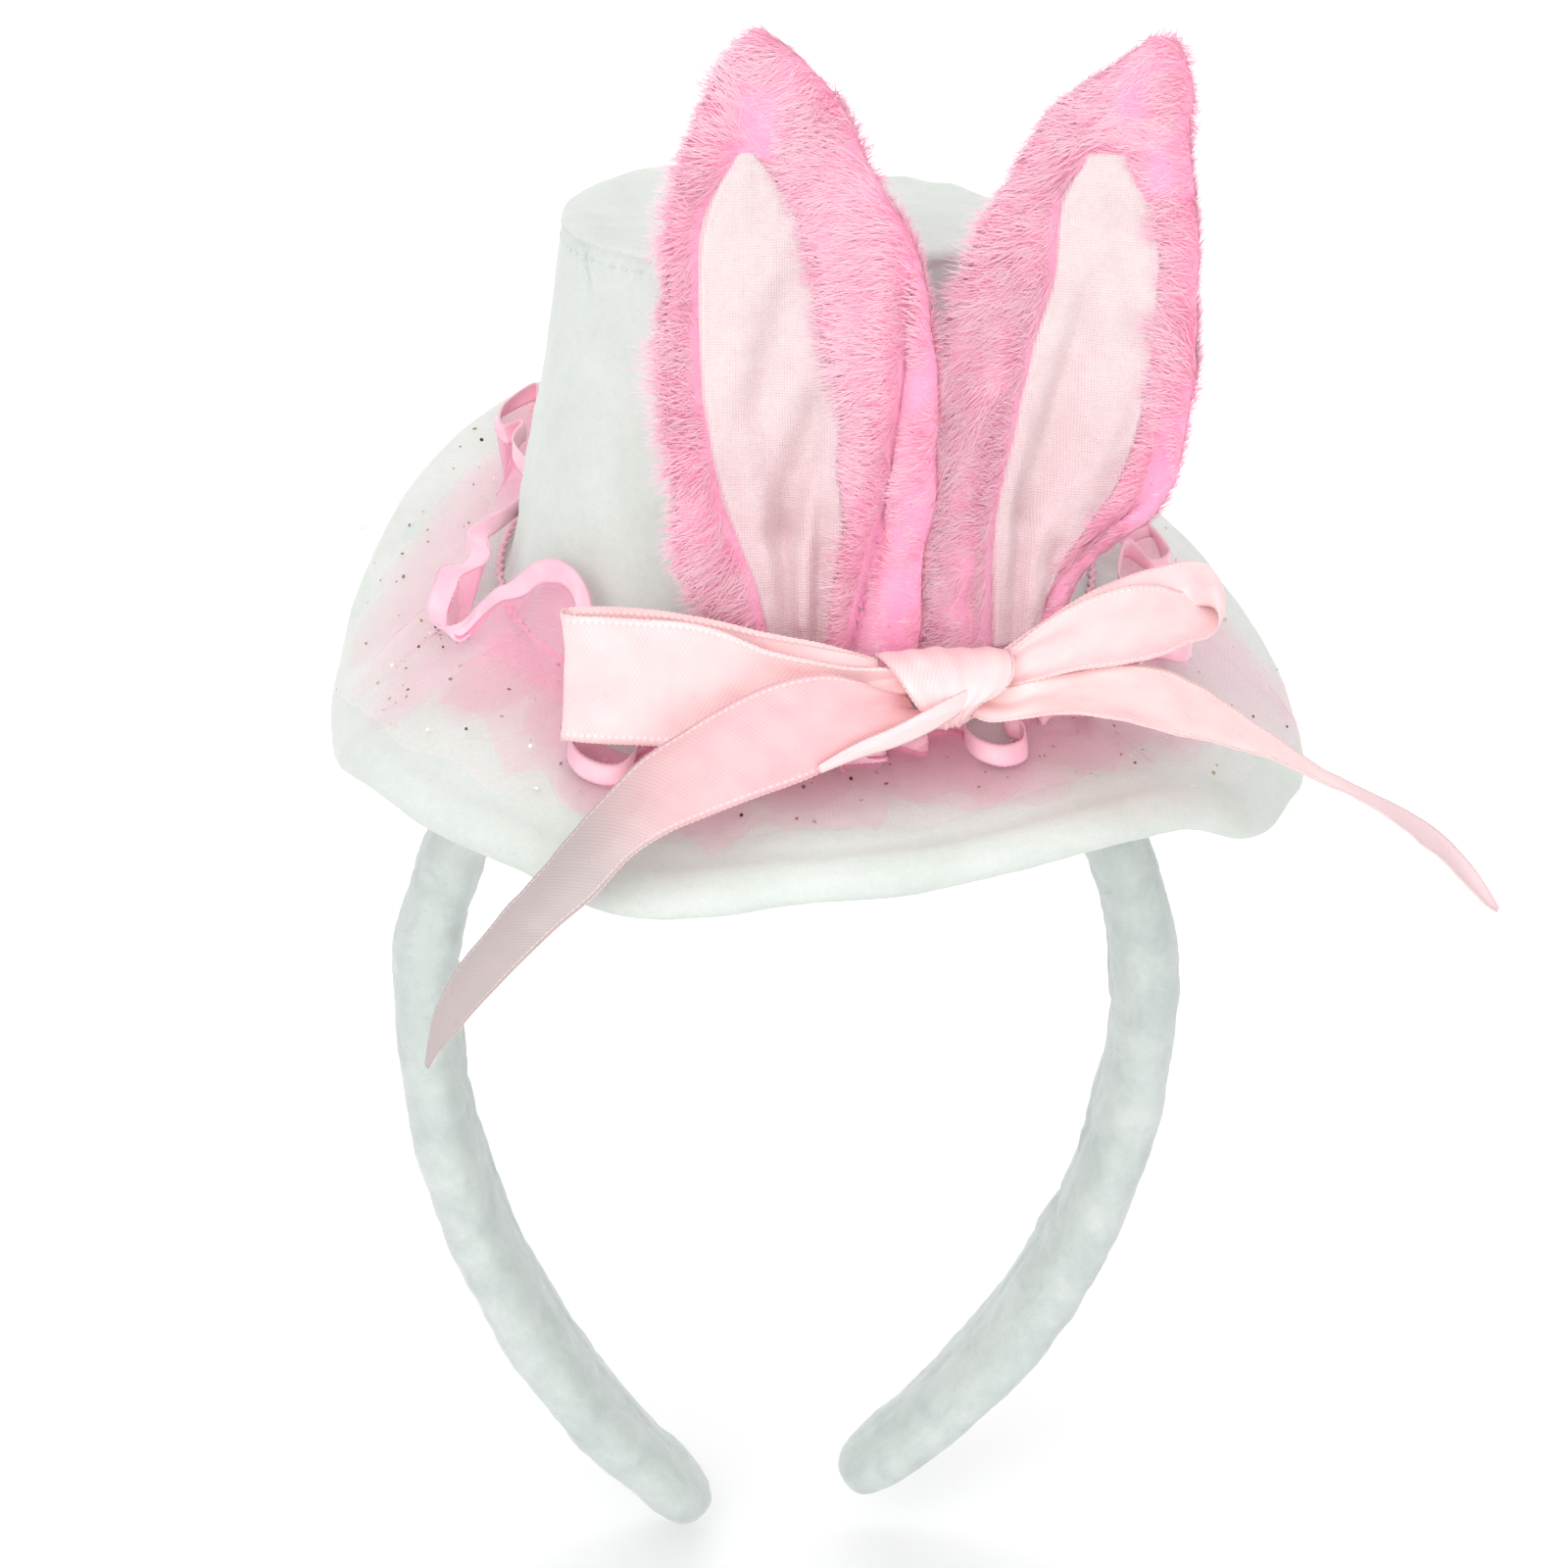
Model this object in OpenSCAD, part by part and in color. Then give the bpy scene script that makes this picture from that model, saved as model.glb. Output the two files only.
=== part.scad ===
// Bunny ears on a mini top hat, carried by a padded, fabric-covered headband.
// Millimetres. +Z is up, the wearer looks along -Y, and left and right are as seen
// from the front, so left is -X. The origin is the centre of the band's round top arc.

/* [Band] */
// Radius of the face that goes round the head
band_inner_r = 50; // [48:1:54]
// Thickness of the padded band
band_thick = 10; // [9.5:0.5:11]
// Width of the padded band, front to back
band_w = 20; // [18:1:24]
// Width of the plastic core
core_w = 12; // [10:1:13]
// Radius of the left arm's middle line, below the widest place
left_arm_r = 120; // [110:1:130]
// Degrees that the left arm turns inwards on its way to the tip
left_bend = 44.5; // [38:0.5:46]
// Radius of the right arm's middle line, below the widest place
right_arm_r = 103; // [96:1:115]
// Degrees that the right arm turns inwards on its way to the tip
right_bend = 50.5; // [42:0.5:52]
// Degrees from level to where each arm starts to flex
flex_angle = 50; // [40:1:55]

/* [Hat] */
// Forward tilt of the hat's base
hat_tilt = 13; // [8:1:15]
// Mean radius of the brim, as it hangs
brim_r = 73; // [70:1:80]
// Radius of the crown where it meets the brim's middle
crown_base_r = 42; // [40:1:43]
// Radius of the crown's flat top
crown_top_r = 33; // [30:1:38]
// Height of the crown's top above the origin
crown_top_z = 119; // [110:1:130]

/* [Ears] */
// Length of an ear above the bow
ear_len = 80; // [76:1:88]
// Half of an ear's greatest width
ear_half = 17; // [15:0.5:17]
// Degrees that both ears lean back against the crown
ear_back_lean = 4; // [2:1:5]

/* [Bow and ruffle] */
// Width of the satin bow ribbon
ribbon_w = 16; // [14:1:18]
// Waves of the ruffle's satin edge round the crown
edge_waves = 17; // [14:1:20]

/* [Hidden] */
$fn = 96;

white_felt = [0.93, 0.95, 0.94];
velour = [0.88, 0.91, 0.90];
fur_pink = [0.96, 0.58, 0.78];
satin_pink = [0.98, 0.80, 0.80];
tulle_pink = [0.97, 0.75, 0.82];
edge_pink = [0.98, 0.66, 0.76];

fit_gap = 0.03;     // between pieces that are wrapped round each other
soft_gap = 0.05;    // between stacked layers

// ---- Band: a plastic strip, foam round it, and a velour sleeve round that ----

band_mid_r = band_inner_r + band_thick / 2;
sleeve_size = [band_thick / 2, band_w / 2, 4.2];        // half thickness, half width, edge radius
foam_size = sleeve_size - [1.2, 1.2, 1];
core_size = [0.8, core_w / 2, 0.6];
flex_slot = 1.8;                                        // between the bridge and each arm
slot_angle = flex_slot / 2 / band_mid_r * 180 / PI;

function grown(size, by) = [size[0] + by, size[1] + by, size[2] + by];

// Cross-section with x through the thickness and y along the width.
module strip_profile(size) {
    square([2 * size[0], 2 * (size[1] - size[2])], center = true);
    square([2 * (size[0] - size[2]), 2 * size[1]], center = true);
    for (sx = [-1, 1], sy = [-1, 1])
        translate([sx * (size[0] - size[2]), sy * (size[1] - size[2])]) circle(size[2]);
}

// Part of a ring round the Y axis, between two angles up from +X.
module strip_arc(radius, from, to, size)
    rotate([90, 0, 0]) rotate([0, 0, from]) rotate_extrude(angle = to - from)
        translate([radius, 0]) strip_profile(size);

module bridge_strip(size)
    strip_arc(band_mid_r, flex_angle + slot_angle, 180 - flex_angle - slot_angle, size);

// Everything short of an arm's tip, which is round when it's seen from outside.
module before_tip(size, radius, bend)
    translate([band_mid_r - radius, 0, 0]) rotate([0, bend, 0]) {
        translate([radius, 0, 0]) rotate([0, 90, 0])
            cylinder(r = size[1] * 1.06, h = 40, center = true);
        translate([-100, -30, 0]) cube([400, 60, 200]);
    }

// An arm on the +X side: round the head as far as level, then inwards to its round tip.
module arm_strip(size, radius, bend) {
    strip_arc(band_mid_r, 0, flex_angle - slot_angle, size);
    intersection() {
        translate([band_mid_r - radius, 0, 0]) mirror([0, 0, 1])
            strip_arc(radius, 0, bend + 10, size);
        before_tip(size, radius, bend);
    }
}

module arm_foam(radius, bend) difference() {
    arm_strip(foam_size, radius, bend);
    arm_strip(grown(core_size, fit_gap), radius, bend);
}

module arm_sleeve(radius, bend) difference() {
    arm_strip(sleeve_size, radius, bend);
    arm_strip(grown(foam_size, fit_gap), radius, bend);
}

module band_bridge_core() color("ghostwhite") bridge_strip(core_size);

module band_bridge_foam() color("ivory") difference() {
    bridge_strip(foam_size);
    bridge_strip(grown(core_size, fit_gap));
}

module band_bridge_sleeve() color(velour) difference() {
    bridge_strip(sleeve_size);
    bridge_strip(grown(foam_size, fit_gap));
}

module left_arm_core() color("ghostwhite") mirror([1, 0, 0])
    arm_strip(core_size, left_arm_r, left_bend);
module left_arm_foam() color("ivory") mirror([1, 0, 0]) arm_foam(left_arm_r, left_bend);
module left_arm_sleeve() color(velour) mirror([1, 0, 0]) arm_sleeve(left_arm_r, left_bend);
module right_arm_core() color("ghostwhite") arm_strip(core_size, right_arm_r, right_bend);
module right_arm_foam() color("ivory") arm_foam(right_arm_r, right_bend);
module right_arm_sleeve() color(velour) arm_sleeve(right_arm_r, right_bend);

// ---- Brim: two felts with a stiffener between them, flat under the crown ----

hat_x = 1.5;                                        // the hat sits a little right of the middle
brim_under_z = band_inner_r + band_thick + 3;       // underside of the brim over the origin
slope = tan(hat_tilt);
felt = 1.2;
stiffener = 1.5;
brim_layers = [0, felt + soft_gap, felt + stiffener + 2 * soft_gap];
brim_thick = brim_layers[2] + felt;
brim_top_z = brim_under_z + brim_thick;
flat_r = 45;
brim_steps = 60;
brim_curve = 1.4;                                   // how late the brim leaves the flat

// Places where the rim lifts or dips: [degrees from the front towards +X, lift, spread].
rim_waves = [[36, 9, 30], [-20, -3, 16], [-54, 6, 18], [-138, 8, 26]];

function rim_r(a) = brim_r + 2 * sin(a);
function turn(a) = a - 360 * floor((a + 180) / 360);
function rim_wave(a) = [for (w = rim_waves) w[1] * exp(-pow(turn(a - w[0]) / w[2], 2))] * [1, 1, 1, 1];
function rim_under_z(a) = 56 - 17 * cos(a) - 15 * pow(sin(a), 4) - 3 * sin(a) + rim_wave(a);
function flat_z(r, a) = brim_under_z - slope * r * cos(a);
function past_flat(r, a) = max(0, (r - flat_r) / (rim_r(a) - flat_r));
function brim_z(r, a) = flat_z(r, a)
    + (rim_under_z(a) - flat_z(rim_r(a), a)) * pow(past_flat(r, a), brim_curve);
function round_hat(r, a, z) = [hat_x + r * sin(a), -r * cos(a), z];

// A closed sheet from rings of points: top and under are lists of rings, and shut says whether
// the first ring closes to a point (a disc) or is an edge of its own (a collar).
module ring_sheet(under, top, shut) {
    n = len(under[0]);
    rows = len(under);
    layer = rows * n;
    points = concat([for (ring = under) each ring], [for (ring = top) each ring]);
    quads = [for (i = [0:rows - 2], j = [0:n - 1]) let (k = (j + 1) % n)
        each [[i * n + j, i * n + k, (i + 1) * n + k], [i * n + j, (i + 1) * n + k, (i + 1) * n + j]]];
    over = [for (f = quads) [f[0] + layer, f[2] + layer, f[1] + layer]];
    rim = [for (j = [0:n - 1]) let (k = (j + 1) % n, o = layer - n)
        each [[o + j, o + k, o + k + layer], [o + j, o + k + layer, o + j + layer]]];
    inner = shut
        ? [for (j = [1:n - 2]) each [[0, j + 1, j], [layer, layer + j, layer + j + 1]]]
        : [for (j = [0:n - 1]) let (k = (j + 1) % n)
            each [[j, k + layer, k], [j, j + layer, k + layer]]];
    polyhedron(points, [for (f = concat(quads, over, rim, inner)) [f[0], f[2], f[1]]], 10);
}

function brim_ring(share, lift) = [for (i = [0:brim_steps - 1])
    let (a = i * 360 / brim_steps, r = flat_r + (rim_r(a) - flat_r) * share)
    round_hat(r, a, brim_z(r, a) + lift)];

// The rings stand at these shares of the way from the flat to the rim. The stiffener stops at
// the last but one, so that every layer has the same facets.
brim_shares = [0, 0.3, 0.6, 0.88, 1];
module brim_layer(i, thick, rings) {
    shares = [for (k = [0:rings - 1]) brim_shares[k]];
    ring_sheet([for (s = shares) brim_ring(s, brim_layers[i])],
        [for (s = shares) brim_ring(s, brim_layers[i] + thick)], true);
}

module brim_under_felt() color(white_felt) brim_layer(0, felt, 5);
module brim_stiffener() color("snow") brim_layer(1, stiffener, 4);
module brim_top_felt() color(white_felt) brim_layer(2, felt, 5);

// A short thread lying along the given direction, in degrees from the front.
module stitch(at, heading, pitch, long)
    translate(at) rotate([0, 0, heading]) rotate([0, 90 - pitch, 0])
        cylinder(r = 0.15, h = long, center = true, $fn = 16);

brim_stitches = 90;
stitch_inset = 4.5;
module brim_edge_stitches() color("white")
    for (i = [0:brim_stitches - 1]) {
        a = i * 360 / brim_stitches;
        r = rim_r(a) - stitch_inset;
        rise = (brim_z(r, a + 1) - brim_z(r, a - 1)) / (2 * r * PI / 180);
        stitch(round_hat(r, a, brim_z(r, a) + brim_thick + 0.45), a, atan(rise), 2.2);
    }

// ---- Crown: a tapered felt wall and a felt top, each with a liner inside ----

taper = (crown_base_r - crown_top_r) / (crown_top_z - brim_top_z);
function crown_r(z) = crown_top_r + (crown_top_z - z) * taper;
crown_foot_z = brim_top_z - 20;
liner = 1;

module crown_cone(inset, from, to)
    translate([hat_x, 0, from])
        cylinder(r1 = crown_r(from) - inset, r2 = crown_r(to) - inset, h = to - from);

// Everything below the brim's flat top.
module below_brim()
    translate([0, 0, brim_top_z]) rotate([hat_tilt, 0, 0])
        translate([-100, -100, -100]) cube([200, 200, 100]);

module crown_shell(outer, inner, top) difference() {
    crown_cone(outer, crown_foot_z, top);
    crown_cone(inner, crown_foot_z - 1, top + 1);
    below_brim();
}

wall_top_z = crown_top_z - felt - soft_gap;
module crown_wall_felt() color(white_felt) crown_shell(0, felt, wall_top_z);
module crown_wall_liner() color("snow") crown_shell(felt + soft_gap, felt + liner, wall_top_z);
module crown_top_felt() color(white_felt)
    translate([hat_x, 0, crown_top_z - felt]) cylinder(r = crown_top_r, h = felt);
module crown_top_liner() color("snow")
    translate([hat_x, 0, wall_top_z - liner])
        cylinder(r = crown_r(wall_top_z) - felt - liner - 2 * soft_gap, h = liner);

top_stitches = 48;
module crown_top_stitches() color("white")
    for (i = [0:top_stitches - 1]) {
        a = i * 360 / top_stitches;
        stitch(round_hat(crown_top_r - 1.6, a, crown_top_z + 0.2), a, 0, 2.4);
    }

// A felt block glued between the band's top and the flat of the brim.
pad_x = 32;
pad_y = 15;
module mounting_pad() color(white_felt) difference() {
    intersection() {
        translate([-pad_x / 2, -pad_y / 2, band_mid_r - 5]) cube([pad_x, pad_y, 20]);
        translate([0, 0, band_mid_r - 6]) cylinder(r = pad_x / 2 + 1, h = 30);
    }
    rotate([90, 0, 0])
        cylinder(r = band_inner_r + band_thick + fit_gap, h = 60, center = true, $fn = 180);
    translate([0, 0, brim_under_z - soft_gap]) rotate([hat_tilt, 0, 0])
        translate([-50, -50, 0]) cube([100, 100, 40]);
}

// ---- Ruffle: two gathered tulle layers, a satin edge and the cord that gathers them ----

tulle_thick = 0.3;
tulle_steps = 90;
function tulle_lift(t, a, rest, rise, folds, phase) =
    rest + rise * t * (1 + 0.45 * sin(folds * a + phase));
// Point t of the way out from the crown on a tulle layer, this far above its underside.
function tulle_point(cut, t, a, lift) =
    let (r = flat_r - 0.5 + (rim_r(a) + cut[0] - flat_r + 0.5) * t)
    round_hat(r, a, brim_z(min(r, rim_r(a)), a) + brim_thick + lift
        + tulle_lift(t, a, cut[1], cut[2], cut[3], cut[4]));

// A tulle collar lying on the brim, from the crown out to near the rim.
module tulle_layer(cut) {
    shares = [0, 0.3, 0.65, 1];
    rings = [for (lift = [0, tulle_thick]) [for (t = shares) [for (i = [0:tulle_steps - 1])
        tulle_point(cut, t, i * 360 / tulle_steps, lift)]]];
    ring_sheet(rings[0], rings[1], false);
}

// Reach past the rim, rest height, rise at the edge, folds, and where the folds start.
lower_tulle = [-4, 0.9, 1.2, 11, 0];
upper_tulle = [-8, 1.6, 4, 13, 40];
module tulle_lower_layer() color(tulle_pink) tulle_layer(lower_tulle);
module tulle_upper_layer() color(tulle_pink) tulle_layer(upper_tulle);

// Small six-sided flecks scattered over the upper tulle.
flecks = 72;
module glitter_flecks() color("silver") {
    along = rands(0.12, 0.96, flecks, 5);
    nudge = rands(0, 360 / flecks, flecks, 8);
    for (i = [0:flecks - 1]) {
        a = i * 360 / flecks + nudge[i];
        at = tulle_point(upper_tulle, along[i], a, tulle_thick + 0.22);
        translate(at) cylinder(r = 0.35, h = 0.1, $fn = 6);
    }
}

// The satin edge stands in waves round the foot of the crown, lower under the bow.
edge_steps = edge_waves * 8;
edge_thick = 0.5;
bow_side = 16;                                      // degrees from the front to the bow's middle
function near_bow(a) = exp(-pow(turn(a - bow_side) / 42, 2));
function edge_r(a) = flat_r + 3.2 + 5 * near_bow(a) + 2.2 * sin(edge_waves * a);
// It rests on the crests of the tulle, which rise towards the rim.
function edge_foot_z(a) = brim_z(edge_r(a), a) + brim_thick
    + 2.1 + 5.8 * (edge_r(a) - flat_r + 0.5) / (brim_r - flat_r - 8);
function edge_h(a) = 8 - 4.8 * near_bow(a);

function edge_ring(out, up) = [for (i = [0:edge_steps - 1])
    let (a = i * 360 / edge_steps)
    round_hat(edge_r(a) + out + 1.5 * up, a, edge_foot_z(a) + up * edge_h(a))];

module ruffle_satin_edge() color(edge_pink)
    ring_sheet([edge_ring(0, 0), edge_ring(0, 1)],
        [edge_ring(edge_thick, 0), edge_ring(edge_thick, 1)], false);

module ruffle_gather_cord() color(edge_pink)
    translate([hat_x, 0, brim_top_z]) rotate([hat_tilt, 0, 0]) translate([0, 0, 3.2])
        rotate_extrude() translate([flat_r - 0.6, 0]) circle(0.4);

// ---- Bow: one satin ribbon tied in a knot, as two loops, two tails and the knot ----

ribbon_thick = 0.4;

// Point t of the way from p1 to p2 on a smooth curve through four points.
function between(p0, p1, p2, p3, t) = 0.5 * (2 * p1 + (p2 - p0) * t
    + (2 * p0 - 5 * p1 + 4 * p2 - p3) * t * t + (3 * p1 - p0 - 3 * p2 + p3) * t * t * t);
function smooth_route(route, steps) = [for (i = [0:len(route) - 2], j = [0:steps - 1])
    between(route[max(i - 1, 0)], route[i], route[i + 1], route[min(i + 2, len(route) - 1)],
        j / steps), route[len(route) - 1]];
function unit(v) = v / norm(v);

// A ribbon along a route of [x, y, z, width, twist]: twist is the degrees that its width leans
// from upright, about its own route.
module ribbon(route, steps = 4) {
    rows = smooth_route(route, steps);
    n = len(rows);
    at = [for (r = rows) [r[0], r[1], r[2]]];
    ahead = [for (i = [0:n - 1]) unit(at[min(i + 1, n - 1)] - at[max(i - 1, 0)])];
    up = [for (t = ahead) unit([0, 0, 1] - t * t[2])];
    side = [for (i = [0:n - 1]) cross(ahead[i], up[i])];
    across = [for (i = [0:n - 1]) up[i] * cos(rows[i][4]) + side[i] * sin(rows[i][4])];
    face = [for (i = [0:n - 1]) cross(ahead[i], across[i])];
    points = [for (i = [0:n - 1], c = [[-1, -1], [1, -1], [1, 1], [-1, 1]])
        at[i] + across[i] * c[0] * rows[i][3] / 2 + face[i] * c[1] * ribbon_thick / 2];
    // Both faces are split along the same diagonal, so that a twisted length keeps its thickness.
    sides = [for (i = [0:n - 2], j = [0:3]) let (k = (j + 1) % 4, a = 4 * i, b = a + 4)
        each j < 2 ? [[a + j, b + k, a + k], [a + j, b + j, b + k]]
            : [[a + j, b + j, a + k], [a + k, b + j, b + k]]];
    last = 4 * n - 4;
    ends = [[0, 1, 2], [0, 2, 3], [last, last + 2, last + 1], [last, last + 3, last + 2]];
    polyhedron(points, [for (f = concat(sides, ends)) [f[0], f[2], f[1]]], 10);
}

w = ribbon_w;
knot_at = [20, -58.5, 69];

// Back layer of the loop out to its end, then the front layer home to the knot.
left_loop = [[12.5, -57, 71, 7, 0], [0, -56.3, 71, 10, 0], [-15, -54.2, 70.5, w, 0],
    [-26, -49.8, 69.5, w, 0], [-30.5, -52, 69, w, 0], [-27, -55.5, 69, w, 0],
    [-14, -59.5, 69.5, w, 0], [0, -62, 69, w - 2, 0], [12, -60.6, 68, 8, 0]];
right_loop = [[28.5, -56.8, 70.5, 7, 0], [36, -54.6, 73, 8, 0], [46, -49.6, 75.5, 9, 0],
    [53, -46.5, 76, 9, 0], [55.8, -48.8, 75, 9, 0], [52, -52.5, 74, 10, 0],
    [44, -56.5, 72.5, 10, 0], [36, -59.3, 70, 9, 0], [29, -60, 68.5, 6, 0]];
left_tail = [[15.5, -64.5, 64, 7, -35], [8, -66, 62.5, 12, -50], [-3.5, -68, 60, w, -50],
    [-14, -70.5, 56, w, -45], [-24, -73, 50, w, -38], [-31.5, -74.5, 42, w, -30],
    [-39.5, -73, 32.5, w - 2, -22], [-45, -69.5, 24, w - 6, -10], [-47.5, -66, 16.5, 2, 0]];
right_tail = [[27, -63.5, 65.5, 5, 0], [34, -65.5, 68, 9, -20], [42.5, -67, 70, 13, -35],
    [52, -67, 67.5, 14, -45], [63.5, -65.5, 61.5, 13, -70], [77, -61.5, 53, 12, -75],
    [88.5, -57, 42, 10, -60], [97, -53, 32.5, 2, -50]];

module bow_left_loop() color(satin_pink) ribbon(left_loop);
module bow_right_loop() color(satin_pink) ribbon(right_loop);
module bow_left_tail() color(satin_pink) ribbon(left_tail);
module bow_right_tail() color(satin_pink) ribbon(right_tail);
module bow_knot() color(satin_pink)
    hull() for (end = [-1, 1], side = [-1, 1], top = [-1, 1])
        translate(knot_at + [end * 4.6, side * 1, top * 2.2]) sphere(r = 2.8, $fn = 20);

// ---- Ears: cupped pockets of fur round batting and a wire, with a woven lining in front ----

ear_flex = 10;                      // height above the bow at which an ear bends
ear_widest = 32;                    // height of the ear's greatest width
ear_foot = 5;                       // the foot reaches this far down behind the bow
cup_r = 26;                         // radius of the cupped front
ear_deep = 6.5;                     // from the lining's front to the back fur
// Layers by distance behind the cupped front: [front, back].
lining_layer = [1, 1.5];
front_layer = [1.55, 3];
batting_layer = [3.05, 4.95];
back_layer = [5, ear_deep];
wire_r = 0.6;
wire_inset = 2.2;

// Half width at height z, for an ear that narrows to foot_share of it at the foot.
function ear_hw(z, half, foot_share) = z > ear_widest
    ? half * pow(max(0, 1 - pow((z - ear_widest) / (ear_len - ear_widest), 2.2)), 0.8)
    : half * (1 - (1 - foot_share) * pow((ear_widest - z) / (ear_widest + ear_foot), 2.2));
// How far the ear's middle line stands outwards: the tip curls out, and the foot comes in.
function ear_mid(z, tip, foot) = tip * pow(max(0, z) / ear_len, 4)
    - foot * pow(max(0, 1 - z / 25), 2);

// The outline in the ear's own frame, x outwards and y up, drawn in by inset.
module ear_outline(from, inset, foot_share, tip, foot) {
    steps = 18;
    top = ear_len - 1.8 * inset;
    heights = [for (i = [0:steps]) from + (top - from) * sin(i * 90 / steps)];
    half = [for (z = heights) max(0.6, ear_hw(z, ear_half, foot_share) - inset)];
    polygon(concat(
        [for (i = [0:steps]) [ear_mid(heights[i], tip, foot) + half[i], heights[i]]],
        [for (i = [steps:-1:0]) [ear_mid(heights[i], tip, foot) - half[i], heights[i]]]));
}

// The lining is narrower and sits towards the ear's outer side.
module lining_outline(tip, foot) {
    steps = 12;
    low = ear_flex + 0.6;
    high = 66;
    heights = [for (i = [0:steps]) low + (high - low) * i / steps];
    half = [for (z = heights) 9.6 * pow(1 - pow(abs(z - 30) / 40, 2.4), 0.7)];
    polygon(concat(
        [for (i = [0:steps]) [ear_mid(heights[i], tip, foot) + 2.6 + half[i], heights[i]]],
        [for (i = [steps:-1:0]) [ear_mid(heights[i], tip, foot) + 2.6 - half[i], heights[i]]]));
}

// What an outline cuts out of the cupped wall between two depths. The ear's back is at y = 0.
module cupped(layer) intersection() {
    rotate([90, 0, 0]) translate([0, 0, -1]) linear_extrude(cup_r + 2) children();
    translate([0, -cup_r - ear_deep, -20]) difference() {
        cylinder(r = cup_r + layer[1], h = ear_len + 40);
        translate([0, 0, -1]) cylinder(r = cup_r + layer[0], h = ear_len + 42);
    }
}

// Outward side, foot's share of the width, tip's curl, foot's shift, place, lean and turn.
function ear_of(side) = side < 0
    ? [-1, 0.8, 6, 0, [0, -43, 71], 0, 0]
    : [1, 0.45, 11, 9.3, [35, -35, 71], 4, 8];

module placed_ear(e) translate(e[4]) rotate([0, 0, e[6]]) rotate([-ear_back_lean, 0, 0])
    rotate([0, e[5], 0]) scale([e[0], 1, 1]) children();

module ear_foot(e) placed_ear(e) cupped([front_layer[0], ear_deep]) difference() {
    ear_outline(-ear_foot, 0, e[1], e[2], e[3]);
    translate([-50, ear_flex - 0.15]) square([100, 200]);
}

module ear_panel(e, layer, inset) placed_ear(e) cupped(layer)
    ear_outline(ear_flex + 0.15, inset, e[1], e[2], e[3]);

module ear_lining(e) placed_ear(e) cupped(lining_layer) lining_outline(e[2], e[3]);

// The wire runs up one side, round the tip and down the other, between the two furs.
module ear_wire(e) {
    steps = 26;
    sides = 8;
    depth = (batting_layer[0] + batting_layer[1]) / 2;
    top = ear_len - wire_inset - 2.5;
    low = ear_flex + 1.2;
    line = [for (i = [-steps:steps])
        let (s = i < 0 ? -1 : 1,
            z = low + (top - low) * cos(abs(i) * 90 / steps),
            x = ear_mid(z, e[2], e[3])
                + s * max(0, ear_hw(z, ear_half, e[1]) - wire_inset) * min(1, abs(i) / 3),
            y = -cup_r - ear_deep + sqrt(pow(cup_r + depth, 2) - x * x))
        [x, y, z]];
    n = len(line);
    ahead = [for (i = [0:n - 1]) unit(line[min(i + 1, n - 1)] - line[max(i - 1, 0)])];
    flat = [for (t = ahead) unit(cross(t, [0, 1, 0]))];
    deep = [for (i = [0:n - 1]) cross(flat[i], ahead[i])];
    points = [for (i = [0:n - 1], j = [0:sides - 1]) let (a = j * 360 / sides)
        line[i] + wire_r * (cos(a) * flat[i] + sin(a) * deep[i])];
    around = [for (i = [0:n - 2], j = [0:sides - 1]) let (k = (j + 1) % sides, o = i * sides)
        each [[o + j, o + k, o + sides + k], [o + j, o + sides + k, o + sides + j]]];
    last = (n - 1) * sides;
    ends = [for (j = [1:sides - 2]) each [[0, j + 1, j], [last, last + j, last + j + 1]]];
    placed_ear(e) polyhedron(points, concat(around, ends), 10);
}

module left_ear_foot() color(fur_pink) ear_foot(ear_of(-1));
module left_ear_back_fur() color(fur_pink) ear_panel(ear_of(-1), back_layer, 0);
module left_ear_batting() color("white") ear_panel(ear_of(-1), batting_layer, 4);
module left_ear_wire() color("silver") ear_wire(ear_of(-1));
module left_ear_front_fur() color(fur_pink) ear_panel(ear_of(-1), front_layer, 0);
module left_ear_lining() color("mistyrose") ear_lining(ear_of(-1));
module right_ear_foot() color(fur_pink) ear_foot(ear_of(1));
module right_ear_back_fur() color(fur_pink) ear_panel(ear_of(1), back_layer, 0);
module right_ear_batting() color("white") ear_panel(ear_of(1), batting_layer, 4);
module right_ear_wire() color("silver") ear_wire(ear_of(1));
module right_ear_front_fur() color(fur_pink) ear_panel(ear_of(1), front_layer, 0);
module right_ear_lining() color("mistyrose") ear_lining(ear_of(1));

band_bridge_core();
band_bridge_foam();
band_bridge_sleeve();
left_arm_core();
left_arm_foam();
left_arm_sleeve();
right_arm_core();
right_arm_foam();
right_arm_sleeve();
mounting_pad();
brim_under_felt();
brim_stiffener();
brim_top_felt();
brim_edge_stitches();
crown_wall_felt();
crown_wall_liner();
crown_top_felt();
crown_top_liner();
crown_top_stitches();
tulle_lower_layer();
tulle_upper_layer();
glitter_flecks();
ruffle_satin_edge();
ruffle_gather_cord();
bow_knot();
bow_left_loop();
bow_right_loop();
bow_left_tail();
bow_right_tail();
left_ear_foot();
left_ear_back_fur();
left_ear_batting();
left_ear_wire();
left_ear_front_fur();
left_ear_lining();
right_ear_foot();
right_ear_back_fur();
right_ear_batting();
right_ear_wire();
right_ear_front_fur();
right_ear_lining();
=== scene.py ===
import math

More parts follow.
